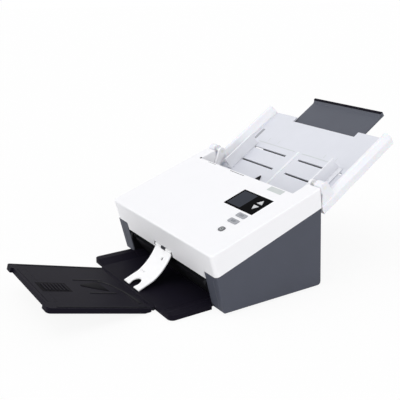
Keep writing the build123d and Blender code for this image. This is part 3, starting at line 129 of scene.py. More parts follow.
def per_metre(millimetres):
    """The noise scale whose features are that many millimetres apart."""
    return 1.0 / (millimetres * MM)


def noise(tree, place, millimetres, detail):
    """A noise texture whose features are that many millimetres apart."""
    inputs = {"Vector": place, "Scale": per_metre(millimetres), "Detail": detail}
    return add_node(tree, "ShaderNodeTexNoise", inputs)


def two_tones(tree, factor, dark, light):
    """A socket that runs between two hex colours."""
    mix = add_node(tree, "ShaderNodeMix", {"Factor": factor}, data_type="RGBA")
    mix.inputs["A"].default_value = linear(dark)
    mix.inputs["B"].default_value = linear(light)
    return mix.outputs["Result"]


def in_range(tree, value, low, high):
    """A 0 to 1 socket stretched between two numbers."""
    node = add_node(tree, "ShaderNodeMapRange", {"Value": value, "To Min": low, "To Max": high})
    return node.outputs["Result"]


def larger(tree, first, second):
    """A socket with the larger of two values."""
    return add_node(tree, "ShaderNodeMath", {0: first, 1: second}, operation="MAXIMUM").outputs[0]


def set_constants(shader, **sockets):
    """Numbers that are the same all over, on the shader's own sockets."""
    for name, value in sockets.items():
        shader.inputs[name.replace("_", " ")].default_value = value


def wire(tree, shader, **sockets):
    """Links sockets to the shader's own inputs, whose names have underscores here for their spaces."""
    for name, socket in sockets.items():
        tree.links.new(socket, shader.inputs[name.replace("_", " ")])


def moulded_plastic(name, colour, roughness, grain, depth, variation=0.03, specular=0.5, drift=38.0):
    """Injection-moulded plastic: an eroded mould leaves an even pitting, and flow a faint drift of tone."""
    # Real pits are about 0.1 mm across, too fine to show here, so the grain is drawn several times as coarse.
    material, tree, shader, place = new_material(name)
    flow = noise(tree, place, drift, 2.0)
    pits = noise(tree, place, grain, 4.0)
    cells = add_node(tree, "ShaderNodeTexVoronoi", {"Vector": place, "Scale": per_metre(grain * 1.7)})
    tone = two_tones(tree, flow.outputs["Fac"], shade(colour, 1 - variation), shade(colour, 1 + variation))
    height = add_node(tree, "ShaderNodeMath", {0: pits.outputs["Fac"], 1: cells.outputs["Distance"]},
                      operation="ADD")
    bump = add_node(tree, "ShaderNodeBump", {"Height": height.outputs[0], "Strength": depth,
                                             "Distance": grain * MM * PIT_SHARE})
    wire(tree, shader, Base_Color=tone, Normal=bump.outputs["Normal"],
         Roughness=in_range(tree, pits.outputs["Fac"], roughness - 0.06, roughness + 0.06))
    set_constants(shader, Specular_IOR_Level=specular)
    return material


def polished_plastic(name, colour, roughness, coat=0.3, specular=0.5, glow=0.0):
    """Plastic from a polished mould: smooth, with slow ripples that bend the reflections a little."""
    material, tree, shader, place = new_material(name)
    ripple = noise(tree, place, 24.0, 2.0)
    dust = noise(tree, place, 1.4, 3.0)
    tone = two_tones(tree, ripple.outputs["Fac"], shade(colour, 0.98), shade(colour, 1.02))
    bump = add_node(tree, "ShaderNodeBump", {"Height": ripple.outputs["Fac"], "Strength": 0.15,
                                             "Distance": RIPPLE_HEIGHT})
    wire(tree, shader, Base_Color=tone, Normal=bump.outputs["Normal"],
         Roughness=in_range(tree, dust.outputs["Fac"], roughness * 0.7, roughness * 1.4))
    set_constants(shader, Coat_Weight=coat, Coat_Roughness=0.08, Specular_IOR_Level=specular)
    if glow:
        set_constants(shader, Subsurface_Weight=glow, Subsurface_Scale=0.004)
    return material


def guide_styrene(name, colour, slot_shade_colour, roughness):
    """The paper guides' styrene: milky where it stands over the tray, and painted dark below the tray's
    surface, a painted shade for the slots that the racks show through.
    """
    material, tree, shader, place = new_material(name)
    normal = INPUT_TRAY.matrix.to_3x3().col[2].normalized()
    tray_level = INPUT_TRAY.matrix.translation.dot(normal)
    above = add_node(tree, "ShaderNodeVectorMath", {0: place, 1: normal}, operation="DOT_PRODUCT")
    # Below the tray's surface the guides take the dark colour: painted shade in the slots.
    depth = add_node(tree, "ShaderNodeMapRange", {"Value": above.outputs["Value"],
                                                  "From Min": tray_level - 2.0 * MM,
                                                  "From Max": tray_level - 1.0 * MM})
    ripple = noise(tree, place, 24.0, 2.0)
    tone = two_tones(tree, depth.outputs["Result"], slot_shade_colour, colour)
    bump = add_node(tree, "ShaderNodeBump", {"Height": ripple.outputs["Fac"], "Strength": 0.15,
                                             "Distance": RIPPLE_HEIGHT})
    wire(tree, shader, Base_Color=tone, Normal=bump.outputs["Normal"],
         Roughness=in_range(tree, ripple.outputs["Fac"], roughness * 0.7, roughness * 1.4))
    set_constants(shader, Specular_IOR_Level=0.3)
    return material


def ground_rubber(name, colour, grain, roughness=0.75):
    """Moulded or ground rubber: dull, with a close tooth that grips paper."""
    material, tree, shader, place = new_material(name)
    tooth = add_node(tree, "ShaderNodeTexVoronoi", {"Vector": place, "Scale": per_metre(grain)}, feature="F1")
    wear = noise(tree, place, 9.0, 5.0)
    tone = two_tones(tree, wear.outputs["Fac"], shade(colour, 0.8), shade(colour, 1.25))
    bump = add_node(tree, "ShaderNodeBump", {"Height": tooth.outputs["Distance"], "Strength": 0.5,
                                             "Distance": grain * MM * 0.3})
    wire(tree, shader, Base_Color=tone, Normal=bump.outputs["Normal"],
         Roughness=in_range(tree, wear.outputs["Fac"], roughness - 0.1, roughness + 0.1))
    set_constants(shader, Specular_IOR_Level=0.3)
    return material


def drawn_metal(name, colour, roughness, stretch):
    """Drawn or ground metal: fine scratches run along the stretch, across which the light spreads."""
    material, tree, shader, place = new_material(name)
    along = add_node(tree, "ShaderNodeMapping", {"Vector": place, "Scale": stretch})
    lines = noise(tree, along.outputs["Vector"], 0.8, 6.0)
    tone = two_tones(tree, lines.outputs["Fac"], shade(colour, 0.9), shade(colour, 1.08))
    bump = add_node(tree, "ShaderNodeBump", {"Height": lines.outputs["Fac"], "Strength": 0.2,
                                             "Distance": 0.1 * MM})
    wire(tree, shader, Base_Color=tone, Normal=bump.outputs["Normal"],
         Roughness=in_range(tree, lines.outputs["Fac"], roughness * 0.7, roughness * 1.3))
    set_constants(shader, Metallic=1.0)
    return material


def float_glass(name, colour):
    """The contact glass of a sensor: clear float glass, polished, with a trace of paper dust."""
    material, tree, shader, place = new_material(name)
    dust = noise(tree, place, 2.5, 6.0)
    wire(tree, shader, Base_Color=two_tones(tree, dust.outputs["Fac"], colour, shade(colour, 1.1)),
         Roughness=in_range(tree, dust.outputs["Fac"], 0.02, 0.09))
    set_constants(shader, Transmission_Weight=0.6, IOR=1.52)
    return material


def display_glass(name, colour):
    """A switched-off liquid crystal window: dark blue grey, with its pixel rows just showing."""
    material, tree, shader, place = new_material(name)
    # Real rows are 0.3 mm apart, too fine to show here, so they are drawn four times as far apart.
    rows = add_node(tree, "ShaderNodeTexWave", {"Vector": place, "Scale": per_metre(1.2) / TURN,
                                                "Distortion": 0.0}, bands_direction="X")
    cloud = noise(tree, place, 30.0, 1.0)
    blend = add_node(tree, "ShaderNodeMath", {0: rows.outputs["Fac"], 1: cloud.outputs["Fac"]},
                     operation="MULTIPLY")
    tone = two_tones(tree, blend.outputs[0], shade(colour, 0.92), shade(colour, 1.12))
    wire(tree, shader, Base_Color=tone, Roughness=in_range(tree, cloud.outputs["Fac"], 0.1, 0.18))
    set_constants(shader, Specular_IOR_Level=0.05)
    return material


def circuit_board(name, colour):
    """Glass-fibre board under solder mask: a green lacquer, with tracks that stand up a little."""
    material, tree, shader, place = new_material(name)
    tracks = add_node(tree, "ShaderNodeTexBrick", {"Vector": place, "Scale": per_metre(12.0),
                                                   "Mortar Size": 0.012})
    tracks.inputs["Color1"].default_value = linear(shade(colour, 0.8))
    tracks.inputs["Color2"].default_value = linear(shade(colour, 1.0))
    tracks.inputs["Mortar"].default_value = linear(shade(colour, 1.6))
    weave = noise(tree, place, 0.7, 2.0)
    bump = add_node(tree, "ShaderNodeBump", {"Height": tracks.outputs["Fac"], "Strength": 0.3,
                                             "Distance": 0.05 * MM})
    wire(tree, shader, Base_Color=tracks.outputs["Color"], Normal=bump.outputs["Normal"],
         Roughness=in_range(tree, weave.outputs["Fac"], 0.25, 0.4))
    return material


def toothed_belt(name, colour):
    """A moulded timing belt: black rubber with a cross tooth every 2 mm and faint cord marks."""
    material, tree, shader, place = new_material(name)
    teeth = add_node(tree, "ShaderNodeTexWave", {"Vector": place, "Scale": per_metre(2.0) / TURN},
                     bands_direction="Y")
    cord = noise(tree, place, 0.9, 3.0)
    tone = two_tones(tree, teeth.outputs["Fac"], shade(colour, 0.7), shade(colour, 1.3))
    bump = add_node(tree, "ShaderNodeBump", {"Height": teeth.outputs["Fac"], "Strength": 0.8,
                                             "Distance": 0.6 * MM})
    wire(tree, shader, Base_Color=tone, Normal=bump.outputs["Normal"],
         Roughness=in_range(tree, cord.outputs["Fac"], 0.55, 0.75))
    return material


def make_finishes(looks):
    """Every finish of the machine by the name that the pieces use."""
    across = (1.0, 14.0, 14.0)
    return {
        # ABS in a spark-eroded mould: almost white, satin, a soft grain.
        "white": moulded_plastic("moulded_white_abs", looks.cover, 0.46, 0.9, 0.10, 0.006),
        # The flap is made the brightest white as painted light, to make up for the shade that it gets under the
        # cover's lip; it is from a smoother mould.
        "flap_brightened_white": moulded_plastic("moulded_bright_white_abs", "#FDFDFF", 0.42, 0.8, 0.08, 0.003),
        # The same ABS from a finer mould, a little bluish: the tray that the paper lies on.
        "tray_white": moulded_plastic("moulded_cool_white_abs", looks.tray, 0.40, 1.2, 0.08, 0.012),
        # Polystyrene from a polished mould: rails and guides look milky at their edges.
        "milky": polished_plastic("polished_milky_styrene", looks.rails, 0.30, 0.2, 0.4, 0.15),
        # The guides are painted near-black below the tray's surface: painted shade in the slots.
        "guide": guide_styrene("polished_guide_styrene", looks.rails, "#1B1B20", 0.30),
        # ABS dyed charcoal, coarser grain, so the sides stay matte.
        "charcoal": moulded_plastic("moulded_charcoal_abs", looks.casing, 0.55, 1.1, 0.16, 0.03, 0.22),
        # A lighter charcoal, satin: the extension of the input tray.
        "slate": moulded_plastic("moulded_slate_abs", looks.extension, 0.48, 1.0, 0.12, 0.03, 0.22),
        # ABS dyed black with a violet cast, satin: trays and the chassis.
        "black": moulded_plastic("moulded_black_abs", looks.output, 0.5, 0.8, 0.10, 0.06, 0.03),
        # The same black ABS, polished so that it reflects almost nothing from in front, and darker: painted
        # shade in fields of the tray, between the output extension's grip ribs and in its finger recess.
        "shade_black": moulded_plastic("moulded_deep_black_abs", "#0E0D12", 0.45, 0.8, 0.05, 0.05, 0.01),
        # Glass-filled nylon: dull black, for the parts inside the paper path.
        "nylon": moulded_plastic("moulded_black_nylon", looks.chassis, 0.62, 0.6, 0.2, 0.08, 0.12, 14.0),
        # Acrylic panel printed black on its back, matched to the flat deep black that it shows from in front.
        "acrylic": polished_plastic("polished_black_acrylic", looks.panel, 0.14, 0.0, 0.01),
        # Liquid crystal glass, switched off: dark blue grey.
        "display": display_glass("switched_off_display_glass", looks.display),
        # Silicone keys with a satin lacquer.
        "key": moulded_plastic("lacquered_grey_silicone", looks.buttons, 0.5, 0.5, 0.06, 0.02, 0.3, 6.0),
        "dark_key": moulded_plastic("lacquered_dark_silicone", shade(looks.buttons, 0.66), 0.5, 0.5, 0.06, 0.02,
                                    0.3, 6.0),
        "arrow": moulded_plastic("lacquered_pale_silicone", looks.arrows, 0.45, 0.5, 0.05, 0.015, 0.3, 6.0),
        # A plate sprayed pale grey, even and satin.
        "plate": moulded_plastic("painted_pale_grey_plate", looks.plate, 0.42, 0.4, 0.05, 0.02, 0.4, 8.0),
        # Pad print: thin, dull and a little uneven. The same dark ink also paints the shade lines along the
        # cover's rear edge.
        "ink": moulded_plastic("pad_printed_dark_ink", "#55585F", 0.55, 0.3, 0.05, 0.05, 0.3, 3.0),
        # Urethane tyres, ground true.
        "tyre": ground_rubber("ground_grey_urethane", "#4A4D52", 0.5),
        "pick_tyre": ground_rubber("ground_brown_rubber", "#6B5646", 0.6),
        # Soft feet and belt, dull black.
        "foot": ground_rubber("moulded_black_rubber", "#1E1E20", 0.8),
        "belt": toothed_belt("moulded_timing_belt", "#242426"),
        # Shafts ground along their length, plated sheet and a plated shell: fine lines and a broad gleam.
        "steel": drawn_metal("ground_steel", "#B9BABD", 0.28, across),
        "black_steel": drawn_metal("blackened_steel", "#3A3B40", 0.42, across),
        "zinc": drawn_metal("galvanised_sheet", "#A9ADB1", 0.4, (6.0, 6.0, 1.0)),
        "nickel": drawn_metal("nickel_plated_shell", "#C4C3BD", 0.22, (1.0, 6.0, 1.0)),
        # Acetal is white, waxy and a little see-through.
        "acetal": polished_plastic("moulded_white_acetal", "#E9E9E4", 0.35, 0.0, 0.5, 0.1),
        # The sensors: clear contact glass over a dull dark housing, and lacquered boards.
        "glass": float_glass("polished_float_glass", "#B9C6C4"),
        "sensor": moulded_plastic("moulded_sensor_housing", "#2B2D31", 0.5, 0.7, 0.15, 0.05, 0.3, 12.0),
        "board": circuit_board("solder_masked_board", "#1F6A44"),
    }


NODE_FINISHES = {
    "white": ("top_cover", "tray_posts"),
    "flap_brightened_white": ("paper_flap",),
    "tray_white": ("input_tray",),
    "milky": ("left_rail", "right_rail"),
    "guide": ("left_paper_guide", "right_paper_guide"),
    "charcoal": ("left_casing", "right_casing", "rear_panel"),
    "slate": ("input_extension",),
    "black": ("output_tray", "output_extension", "paper_stop", "base_pan"),
    # The tray channel is dark nylon, and its dark also paints the shade in the tray's slots above it.
    "nylon": ("left_side_plate", "right_side_plate", "front_cowl", "lower_paper_guide", "cover_frame",
              "power_inlet", "tray_channel"),
    "acrylic": ("display_panel",),
    "display": ("lcd_window",),
    "key": ("scan_button", "mode_button"),
    "dark_key": ("power_button", "release_button"),
    "arrow": ("up_key", "down_key"),
    "plate": ("blank_plate",),
    "tyre": ("transport_tyres", "exit_tyres", "separation_roller"),
    "pick_tyre": ("feed_roller", "pick_roller"),
    "foot": ("rubber_feet",),
    "belt": ("drive_belt",),
    "steel": ("rear_screws", "cover_hinge_pins", "motor_shaft", "transport_shaft", "exit_shaft"),
    "black_steel": ("output_hinge_pin", "flap_pin"),
    "zinc": ("sensor_cross_bar", "drive_motor"),
    "nickel": ("usb_port",),
    "acetal": ("tray_hinge_pins", "guide_pinion", "transport_idler", "exit_idler"),
    "glass": ("lower_scan_glass", "upper_scan_glass"),
    "sensor": ("lower_scan_sensor", "upper_scan_sensor"),
    "board": ("main_board", "control_board"),
}
# The finishes by their names, which the added pieces wear.
finishes = {}


def new_piece(name, bm, body, finish):
    """Makes the finished mesh of a piece, in metres at the origin, and hangs it on its CAD body."""
    bmesh.ops.recalc_face_normals(bm, faces=bm.faces)
    mesh = bpy.data.meshes.new(name)
    bm.to_mesh(mesh)
    bm.free()
    mesh.materials.append(finishes[finish])
    mesh.shade_smooth()
    mesh.set_sharp_from_angle(angle=FACET_ANGLE)
    piece = bpy.data.objects.new(name, mesh)
    bpy.context.scene.collection.objects.link(piece)
    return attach(piece, body)


def soften(bm, edges, width):
    """Rounds edges by a width in the mesh's own units."""
    bmesh.ops.bevel(bm, geom=edges, offset=width, offset_type="OFFSET", segments=BEVEL_SEGMENTS, profile=0.5,
                    affect="EDGES", material=-1, clamp_overlap=True)


def put(bm, part, slope):
    """Adds a part that was built in a slope's own millimetres to a piece."""
    part.transform(slope.matrix)
    carrier = bpy.data.meshes.new("carrier")
    part.to_mesh(carrier)
    part.free()
    bm.from_mesh(carrier)
    bpy.data.meshes.remove(carrier)


def bar(bm, slope, x, y, z, edge):
    """A softened bar between low and high x, y and z of a slope, in millimetres."""
    part = bmesh.new()
    bmesh.ops.create_cube(part, size=1.0)
    size = Matrix.Diagonal((x[1] - x[0], y[1] - y[0], z[1] - z[0], 1.0))
    part.transform(Matrix.Translation((sum(x) / 2, sum(y) / 2, sum(z) / 2)) @ size)
    if edge:
        soften(part, part.edges[:], edge)
    put(bm, part, slope)


def disc(bm, slope, x, y, radius, z, edge):
    """A softened round stud on a slope, in millimetres."""
    part = bmesh.new()
    bmesh.ops.create_cone(part, cap_ends=True, segments=DISC_SIDES, radius1=radius, radius2=radius,
                          depth=z[1] - z[0])
    if edge:
        soften(part, [e for e in part.edges if all(v.co.z > 0 for v in e.verts)], edge)
    part.transform(Matrix.Translation((x, y, sum(z) / 2)))
    put(bm, part, slope)


def extrude_outline(corners, reach, edge=0.0):
    """A closed solid of its own from one flat outline, raised by a vector, with its far edges softened."""
    part = bmesh.new()
    face = part.faces.new([part.verts.new(corner) for corner in corners])
    raised = bmesh.ops.extrude_face_region(part, geom=[face])["geom"]
    top = [g for g in raised if isinstance(g, bmesh.types.BMVert)]
    bmesh.ops.translate(part, vec=reach, verts=top)
    if edge:
        soften(part, [e for e in part.edges if all(v in top for v in e.verts)], edge)
    return part


def outline_plate(bm, slope, points, z, edge):
    """A plate raised from a flat outline of (x, y) points on a slope, in millimetres."""
    put(bm, extrude_outline([(x, y, z[0]) for x, y in points], (0, 0, z[1] - z[0]), edge), slope)


def strip(bm, slope, outline, x):
    """A strip of one (y, z) outline drawn across a slope between low and high x, in millimetres."""
    put(bm, extrude_outline([(x[0], y, z) for y, z in outline], (x[1] - x[0], 0, 0)), slope)


def around(centre, half):
    """A span from its centre and its half width."""
    return centre - half, centre + half


def both_sides(low, high):
    """The same span to the left and to the right of the machine's middle."""
    return (-high, -low), (low, high)


def ellipse(middle, radii, turns):
    """Points on an ellipse about its middle, at angles in radians."""
    return [(middle[0] + radii[0] * math.cos(turn), middle[1] + radii[1] * math.sin(turn)) for turn in turns]


def open_ring(middle, radius, stroke, gap, steps=24):
    """The outline of a ring with a gap of some degrees at its top."""
    first = math.radians(90 + gap / 2)
    step = math.radians(360 - gap) / steps
    turns = [first + step * i for i in range(steps + 1)]
    outer = radius + stroke / 2
    inner = radius - stroke / 2
    return ellipse(middle, (outer, outer), turns) + ellipse(middle, (inner, inner), turns[::-1])


class ScannerLooks(bpy.types.PropertyGroup):
    """The colours of the machine, as sRGB hex."""

    cover: StringProperty(name="Cover", description="White cover", default="#F1F1F4")
    tray: StringProperty(name="Tray", description="Surface of the input tray", default="#D6D8E0")
    rails: StringProperty(name="Rails", description="Rails and paper guides", default="#E9EAEF")
    casing: StringProperty(name="Casing", description="Charcoal sides and rear", default="#4A4D58")
    extension: StringProperty(name="Input extension", description="Plate that slides out", default="#52555F")
    output: StringProperty(name="Output tray", description="Output tray and base", default="#17151E")
    chassis: StringProperty(name="Chassis", description="Parts in the paper path", default="#17171B")
    panel: StringProperty(name="Panel", description="Display panel", default="#050507")
    display: StringProperty(name="Display", description="Display window, switched off", default="#2E323C")
    buttons: StringProperty(name="Buttons", description="Push buttons", default="#A0A2A8")
    arrows: StringProperty(name="Arrows", description="Arrow keys", default="#C9CACD")
    plate: StringProperty(name="Plate", description="Blank plate on the cover", default="#C6CBCB")


class ScannerSizes(bpy.types.PropertyGroup):
    """Sizes of the added pieces, in millimetres."""

    print_height: FloatProperty(name="Print height", description="Thickness of print", default=0.06, min=0.01)
    ridge_height: FloatProperty(name="Ridge height", description="Centre ridge of tray", default=0.7, min=0.1)
    rib_height: FloatProperty(name="Rib height", description="Grip ribs and lines", default=0.6, min=0.1)


class ScannerStage(bpy.types.PropertyGroup):
    """Light and camera."""

    lens: FloatProperty(name="Lens", description="Focal length in millimetres", default=60.3, min=10)
    ambient: FloatProperty(name="Ambient", description="Light from all around", default=0.62, min=0)
    key_light: FloatProperty(name="Key light", description="Soft light from above", default=0.82, min=0)
    side_light: FloatProperty(name="Side light", description="Soft light from the right", default=0.66, min=0)
    front_light: FloatProperty(name="Front light", description="Soft light from the front", default=0.95, min=0)


class SCANNER_OT_finishes(bpy.types.Operator):
    """Makes the finishes and gives every CAD node its own"""

    bl_idname = "scanner.finishes"
    bl_label = "Finishes"

    def execute(self, context):
        finishes.update(make_finishes(context.scene.scanner_looks))
        for finish, nodes in NODE_FINISHES.items():
            for node in nodes:
                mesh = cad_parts[node]
                while len(mesh.material_slots) > 1:
                    mesh.data.materials.pop()
                if not mesh.material_slots:
                    mesh.data.materials.append(finishes[finish])
                mesh.material_slots[0].material = finishes[finish]
        return {"FINISHED"}


# Places on the cover's top: x from the machine's middle, and y up the slope from its front edge.
SHEET_MARKS = {"scan_button": (108.0, 94.5), "mode_button": (108.5, 78.0)}
SHEET_EDGE = 4.1
SHEET_HALF = 1.8
SHEET_ROW = 1.5
SHEET_ROW_HALF = 3.4
MARK_STROKE = 0.6
BUTTON_TOP = 0.7
POWER_MARK = (110.0, 54.3)
RING_RADIUS = 2.5
RING_STROKE = 0.7
RING_GAP = 70
RING_BAR = (0.6, 3.4)
# A black dot of painted shade at the corner of the cover's recess, by the tray's hinge.
RECESS_CORNER_SHADE_DOT = (-132.6, 180.5)
RECESS_CORNER_SHADE_DOT_RADIUS = 2.3
RECESS_CORNER_SHADE_DOT_Z = (-0.2, 0.25)


class SCANNER_OT_controls(bpy.types.Operator):
    """Prints plain pictograms on the buttons and adds a black dot of painted shade at the corner of the cover's
    recess
    """

    bl_idname = "scanner.controls"
    bl_label = "Button marks and lamp"

    def execute(self, context):
        ink = (BUTTON_TOP, BUTTON_TOP + context.scene.scanner_sizes.print_height)
        for name, (x, y) in SHEET_MARKS.items():
            bm = bmesh.new()
            for edge in (-SHEET_EDGE, SHEET_EDGE):
                bar(bm, COVER_TOP, around(x + edge, MARK_STROKE / 2), around(y, SHEET_HALF), ink, PRINT_EDGE)
            for row in (-SHEET_ROW, 0.0, SHEET_ROW):
                bar(bm, COVER_TOP, around(x, SHEET_ROW_HALF), around(y + row, MARK_STROKE / 2), ink, PRINT_EDGE)
            new_piece(name + "_sheet_mark", bm, name, "ink")
        bm = bmesh.new()
        x, y = POWER_MARK
        outline_plate(bm, COVER_TOP, open_ring(POWER_MARK, RING_RADIUS, RING_STROKE, RING_GAP), ink, PRINT_EDGE)
        bar(bm, COVER_TOP, around(x, RING_STROKE / 2), (y + RING_BAR[0], y + RING_BAR[1]), ink, PRINT_EDGE)
        new_piece("power_button_ring_mark", bm, "power_button", "plate")
        bm = bmesh.new()
        # The black dot is painted shade at the recess corner.
        disc(bm, COVER_TOP, *RECESS_CORNER_SHADE_DOT, RECESS_CORNER_SHADE_DOT_RADIUS, RECESS_CORNER_SHADE_DOT_Z, LOW_EDGE)
        new_piece("status_lamp_lens", bm, "cover", "acrylic")
        return {"FINISHED"}


# Dark lines of painted shade along the cover's rear edge, where it meets the tray, as (x, y) spans on its top,
# and the raised strips on the fronts of the casings, whose lighter slate is a painted highlight.
REAR_EDGE_SHADE_LINES = (((-34.0, 6.0), (176.6, 177.8)), ((-104.0, -80.0), (177.2, 178.0)))
REAR_EDGE_SHADE_TOP = 0.12
FRONT_STRIP_X = (BODY_HALF - 12.0, BODY_HALF - 9.5)
FRONT_STRIP_Y = (6.0, 54.0)
FRONT_STRIP_TOP = 0.35


class SCANNER_OT_cover_details(bpy.types.Operator):
    """Adds dark lines of painted shade along the cover's rear edge and the strips on the fronts of the casings,
    whose lighter slate is a painted highlight
    """

    bl_idname = "scanner.cover_details"
    bl_label = "Cover details"

    def execute(self, context):
        # Dark ink lines of painted shade where the cover's rear edge meets the tray.
        bm = bmesh.new()
        for x, y in REAR_EDGE_SHADE_LINES:
            bar(bm, COVER_TOP, x, y, (-SUNK, REAR_EDGE_SHADE_TOP), FINE_EDGE)
        new_piece("cover_edge_slots", bm, "cover", "ink")
        # Raised strips in the lighter slate, whose lighter colour is a painted highlight on the casing fronts.
        bm = bmesh.new()
        for x in both_sides(*FRONT_STRIP_X):
            bar(bm, CASING_FRONT, x, FRONT_STRIP_Y, (-SUNK, FRONT_STRIP_TOP), LOW_EDGE)
        new_piece("casing_front_strips", bm, "base", "slate")
        return {"FINISHED"}


# Spans on the input tray: x from its middle, and y up the slope from its foot.
CENTRE_RIDGE_X = (0.0, 5.5)
CENTRE_RIDGE_Y = (6.0, 92.0)
FORMAT_LINES_X = ((-113.0, -8.0), (12.0, 100.0))
FORMAT_LINE_Y = (90.0, 91.2)
FORMAT_LINE_TOP = 0.25
FORMAT_TICKS = (-90.0, -62.0, 62.0, 90.0)
FORMAT_TICK_HALF = 0.4
FORMAT_TICK_Y = (96.0, 104.0)
FLUSH_TOP = 0.2
LEFT_RAIL_GREY_BAR_X = (-132.0, -125.0)
LEFT_RAIL_GREY_BAR_Y = (93.0, 121.0)
SENSOR_LEVER = ((-29.0, 6.0), (-18.0, 6.0), (-24.0, 17.0))
SENSOR_LEVER_Z = (0.2, 3.2)
# The extension's lip: a hollow rises to it by the square of the way, and its edge is rolled to an ellipse. The
# rolled edge is black on the slate, painted shade for the dark line along the lip's top.
LIP_X = (-85.5, 85.5)
LIP_HEIGHT = 4.4
LIP_HOLLOW_WIDTH = 8
LIP_HOLLOW_SUNK = 0.2
ROLLED_EDGE = (2.6, 1.9)


class SCANNER_OT_input_tray(bpy.types.Operator):
    """Adds the ridge, lines, a grey bar along the left rail and the sensor lever of the input tray, and its
    extension's lip
    """

    bl_idname = "scanner.input_tray"
    bl_label = "Input tray details"

    def execute(self, context):
        sizes = context.scene.scanner_sizes
        bm = bmesh.new()
        bar(bm, INPUT_TRAY, CENTRE_RIDGE_X, CENTRE_RIDGE_Y, (-SUNK, sizes.ridge_height), RIDGE_EDGE)
        new_piece("tray_centre_ridge", bm, "input_tray", "milky")
        bm = bmesh.new()
        for x in FORMAT_LINES_X:
            bar(bm, INPUT_TRAY, x, FORMAT_LINE_Y, (-SUNK, FORMAT_LINE_TOP), FINE_EDGE)
        for x in FORMAT_TICKS:
            bar(bm, INPUT_TRAY, around(x, FORMAT_TICK_HALF), FORMAT_TICK_Y, (-SUNK, FLUSH_TOP), FINE_EDGE)
        new_piece("tray_format_lines", bm, "input_tray", "plate")
        bm = bmesh.new()
        # A grey bar, darker than the tray and flush with it, along the tray's left rail.
        bar(bm, INPUT_TRAY, LEFT_RAIL_GREY_BAR_X, LEFT_RAIL_GREY_BAR_Y, (-SUNK, FLUSH_TOP), LOW_EDGE)
        new_piece("tray_hand_slot", bm, "input_tray", "key")
        bm = bmesh.new()
        outline_plate(bm, INPUT_TRAY, SENSOR_LEVER, SENSOR_LEVER_Z, LEVER_EDGE)
        new_piece("paper_sensor_lever", bm, "input_tray", "nylon")

        foot = INPUT_LIP_Y - LIP_HOLLOW_WIDTH
        rise = [(foot + step, INPUT_SURFACE + LIP_HEIGHT * (step / LIP_HOLLOW_WIDTH) ** 2)
                for step in range(LIP_HOLLOW_WIDTH + 1)]
        below = INPUT_SURFACE - LIP_HOLLOW_SUNK
        bm = bmesh.new()
        strip(bm, INPUT_TRAY, rise + [(INPUT_LIP_Y, below), (foot, below)], LIP_X)
        new_piece("extension_lip_hollow", bm, "input_extension", "slate")
        middle = ((INPUT_LIP_Y + INPUT_LIP_END) / 2, INPUT_SURFACE + LIP_HEIGHT)
        turns = [math.radians(15 * step) for step in range(24)]
        bm = bmesh.new()
        strip(bm, INPUT_TRAY, ellipse(middle, ROLLED_EDGE, turns), LIP_X)
        # The black of the rolled edge is painted shade along the lip's top.
        new_piece("extension_rolled_edge", bm, "input_extension", "black")
        return {"FINISHED"}


# Spans and outlines on the output extension: x from its middle, and y back from its hinge.
GRIP_RIB_SHADE = ((-9.0, -148.0), (27.0, -148.0), (27.0, -101.0), (-9.0, -101.0))
GRIP_RIB_SHADE_Z = (-0.2, 0.08)
FINGER_RECESS_SHADE = ((-17.0, -42.0), (22.0, -38.0), (14.0, -58.0), (2.0, -78.0), (-4.0, -76.0))
FINGER_RECESS_SHADE_Z = (-0.2, 0.3)
SCOOP_MIDDLE = (70.0, -40.0)
SCOOP_OUTER = (92.0, 33.0)
SCOOP_INNER = (86.0, 28.0)
SCOOP_Z = (-0.2, 0.5)
FINGER_RIDGES = (((28.5, 31.5), (-75.0, -30.0)), ((-26.0, -23.0), (-80.0, -30.0)))
SIDE_RIDGE_X = (84.5, 86.5)
SIDE_RIDGE_Y = (-150.0, -6.0)


class SCANNER_OT_output_tray(bpy.types.Operator):
    """Adds the painted shade between the grip ribs and in the finger recess, the scoop edge and the ridges of
    the output extension
    """

    bl_idname = "scanner.output_tray"
    bl_label = "Output extension details"

    def execute(self, context):
        ridge = context.scene.scanner_sizes.rib_height
        bm = bmesh.new()
        # Near-black fields of painted shade between the grip ribs and in the finger recess.
        outline_plate(bm, OUTPUT_EXTENSION, GRIP_RIB_SHADE, GRIP_RIB_SHADE_Z, PRINT_EDGE)
        outline_plate(bm, OUTPUT_EXTENSION, FINGER_RECESS_SHADE, FINGER_RECESS_SHADE_Z, PLATE_EDGE)
        new_piece("extension_dark_fields", bm, "output_extension", "shade_black")
        quarter = [math.radians(90 + 9 * step) for step in range(11)]
        scoop = ellipse(SCOOP_MIDDLE, SCOOP_OUTER, quarter) + ellipse(SCOOP_MIDDLE, SCOOP_INNER, quarter[::-1])
        bm = bmesh.new()
        outline_plate(bm, OUTPUT_EXTENSION, scoop, SCOOP_Z, PLATE_EDGE)
        new_piece("extension_finger_scoop_edge", bm, "output_extension", "nylon")
        bm = bmesh.new()
        for x, y in FINGER_RIDGES:
            bar(bm, OUTPUT_EXTENSION, x, y, (-SUNK, ridge + SUNK), RIDGE_EDGE)
        for x in both_sides(*SIDE_RIDGE_X):
            bar(bm, OUTPUT_EXTENSION, x, SIDE_RIDGE_Y, (-SUNK, ridge), RIDGE_EDGE)
        new_piece("extension_ridges", bm, "output_extension", "nylon")
        return {"FINISHED"}


# The vents in the rear panel, whose slope runs straight up from the desk.
VENT_ROWS = 7
VENT_X = (-80.0, -20.0)
VENT_LOWEST = 62.0
VENT_PITCH = 5.0
VENT_HEIGHT = 2.0
VENT_Z = (-0.2, 0.15)


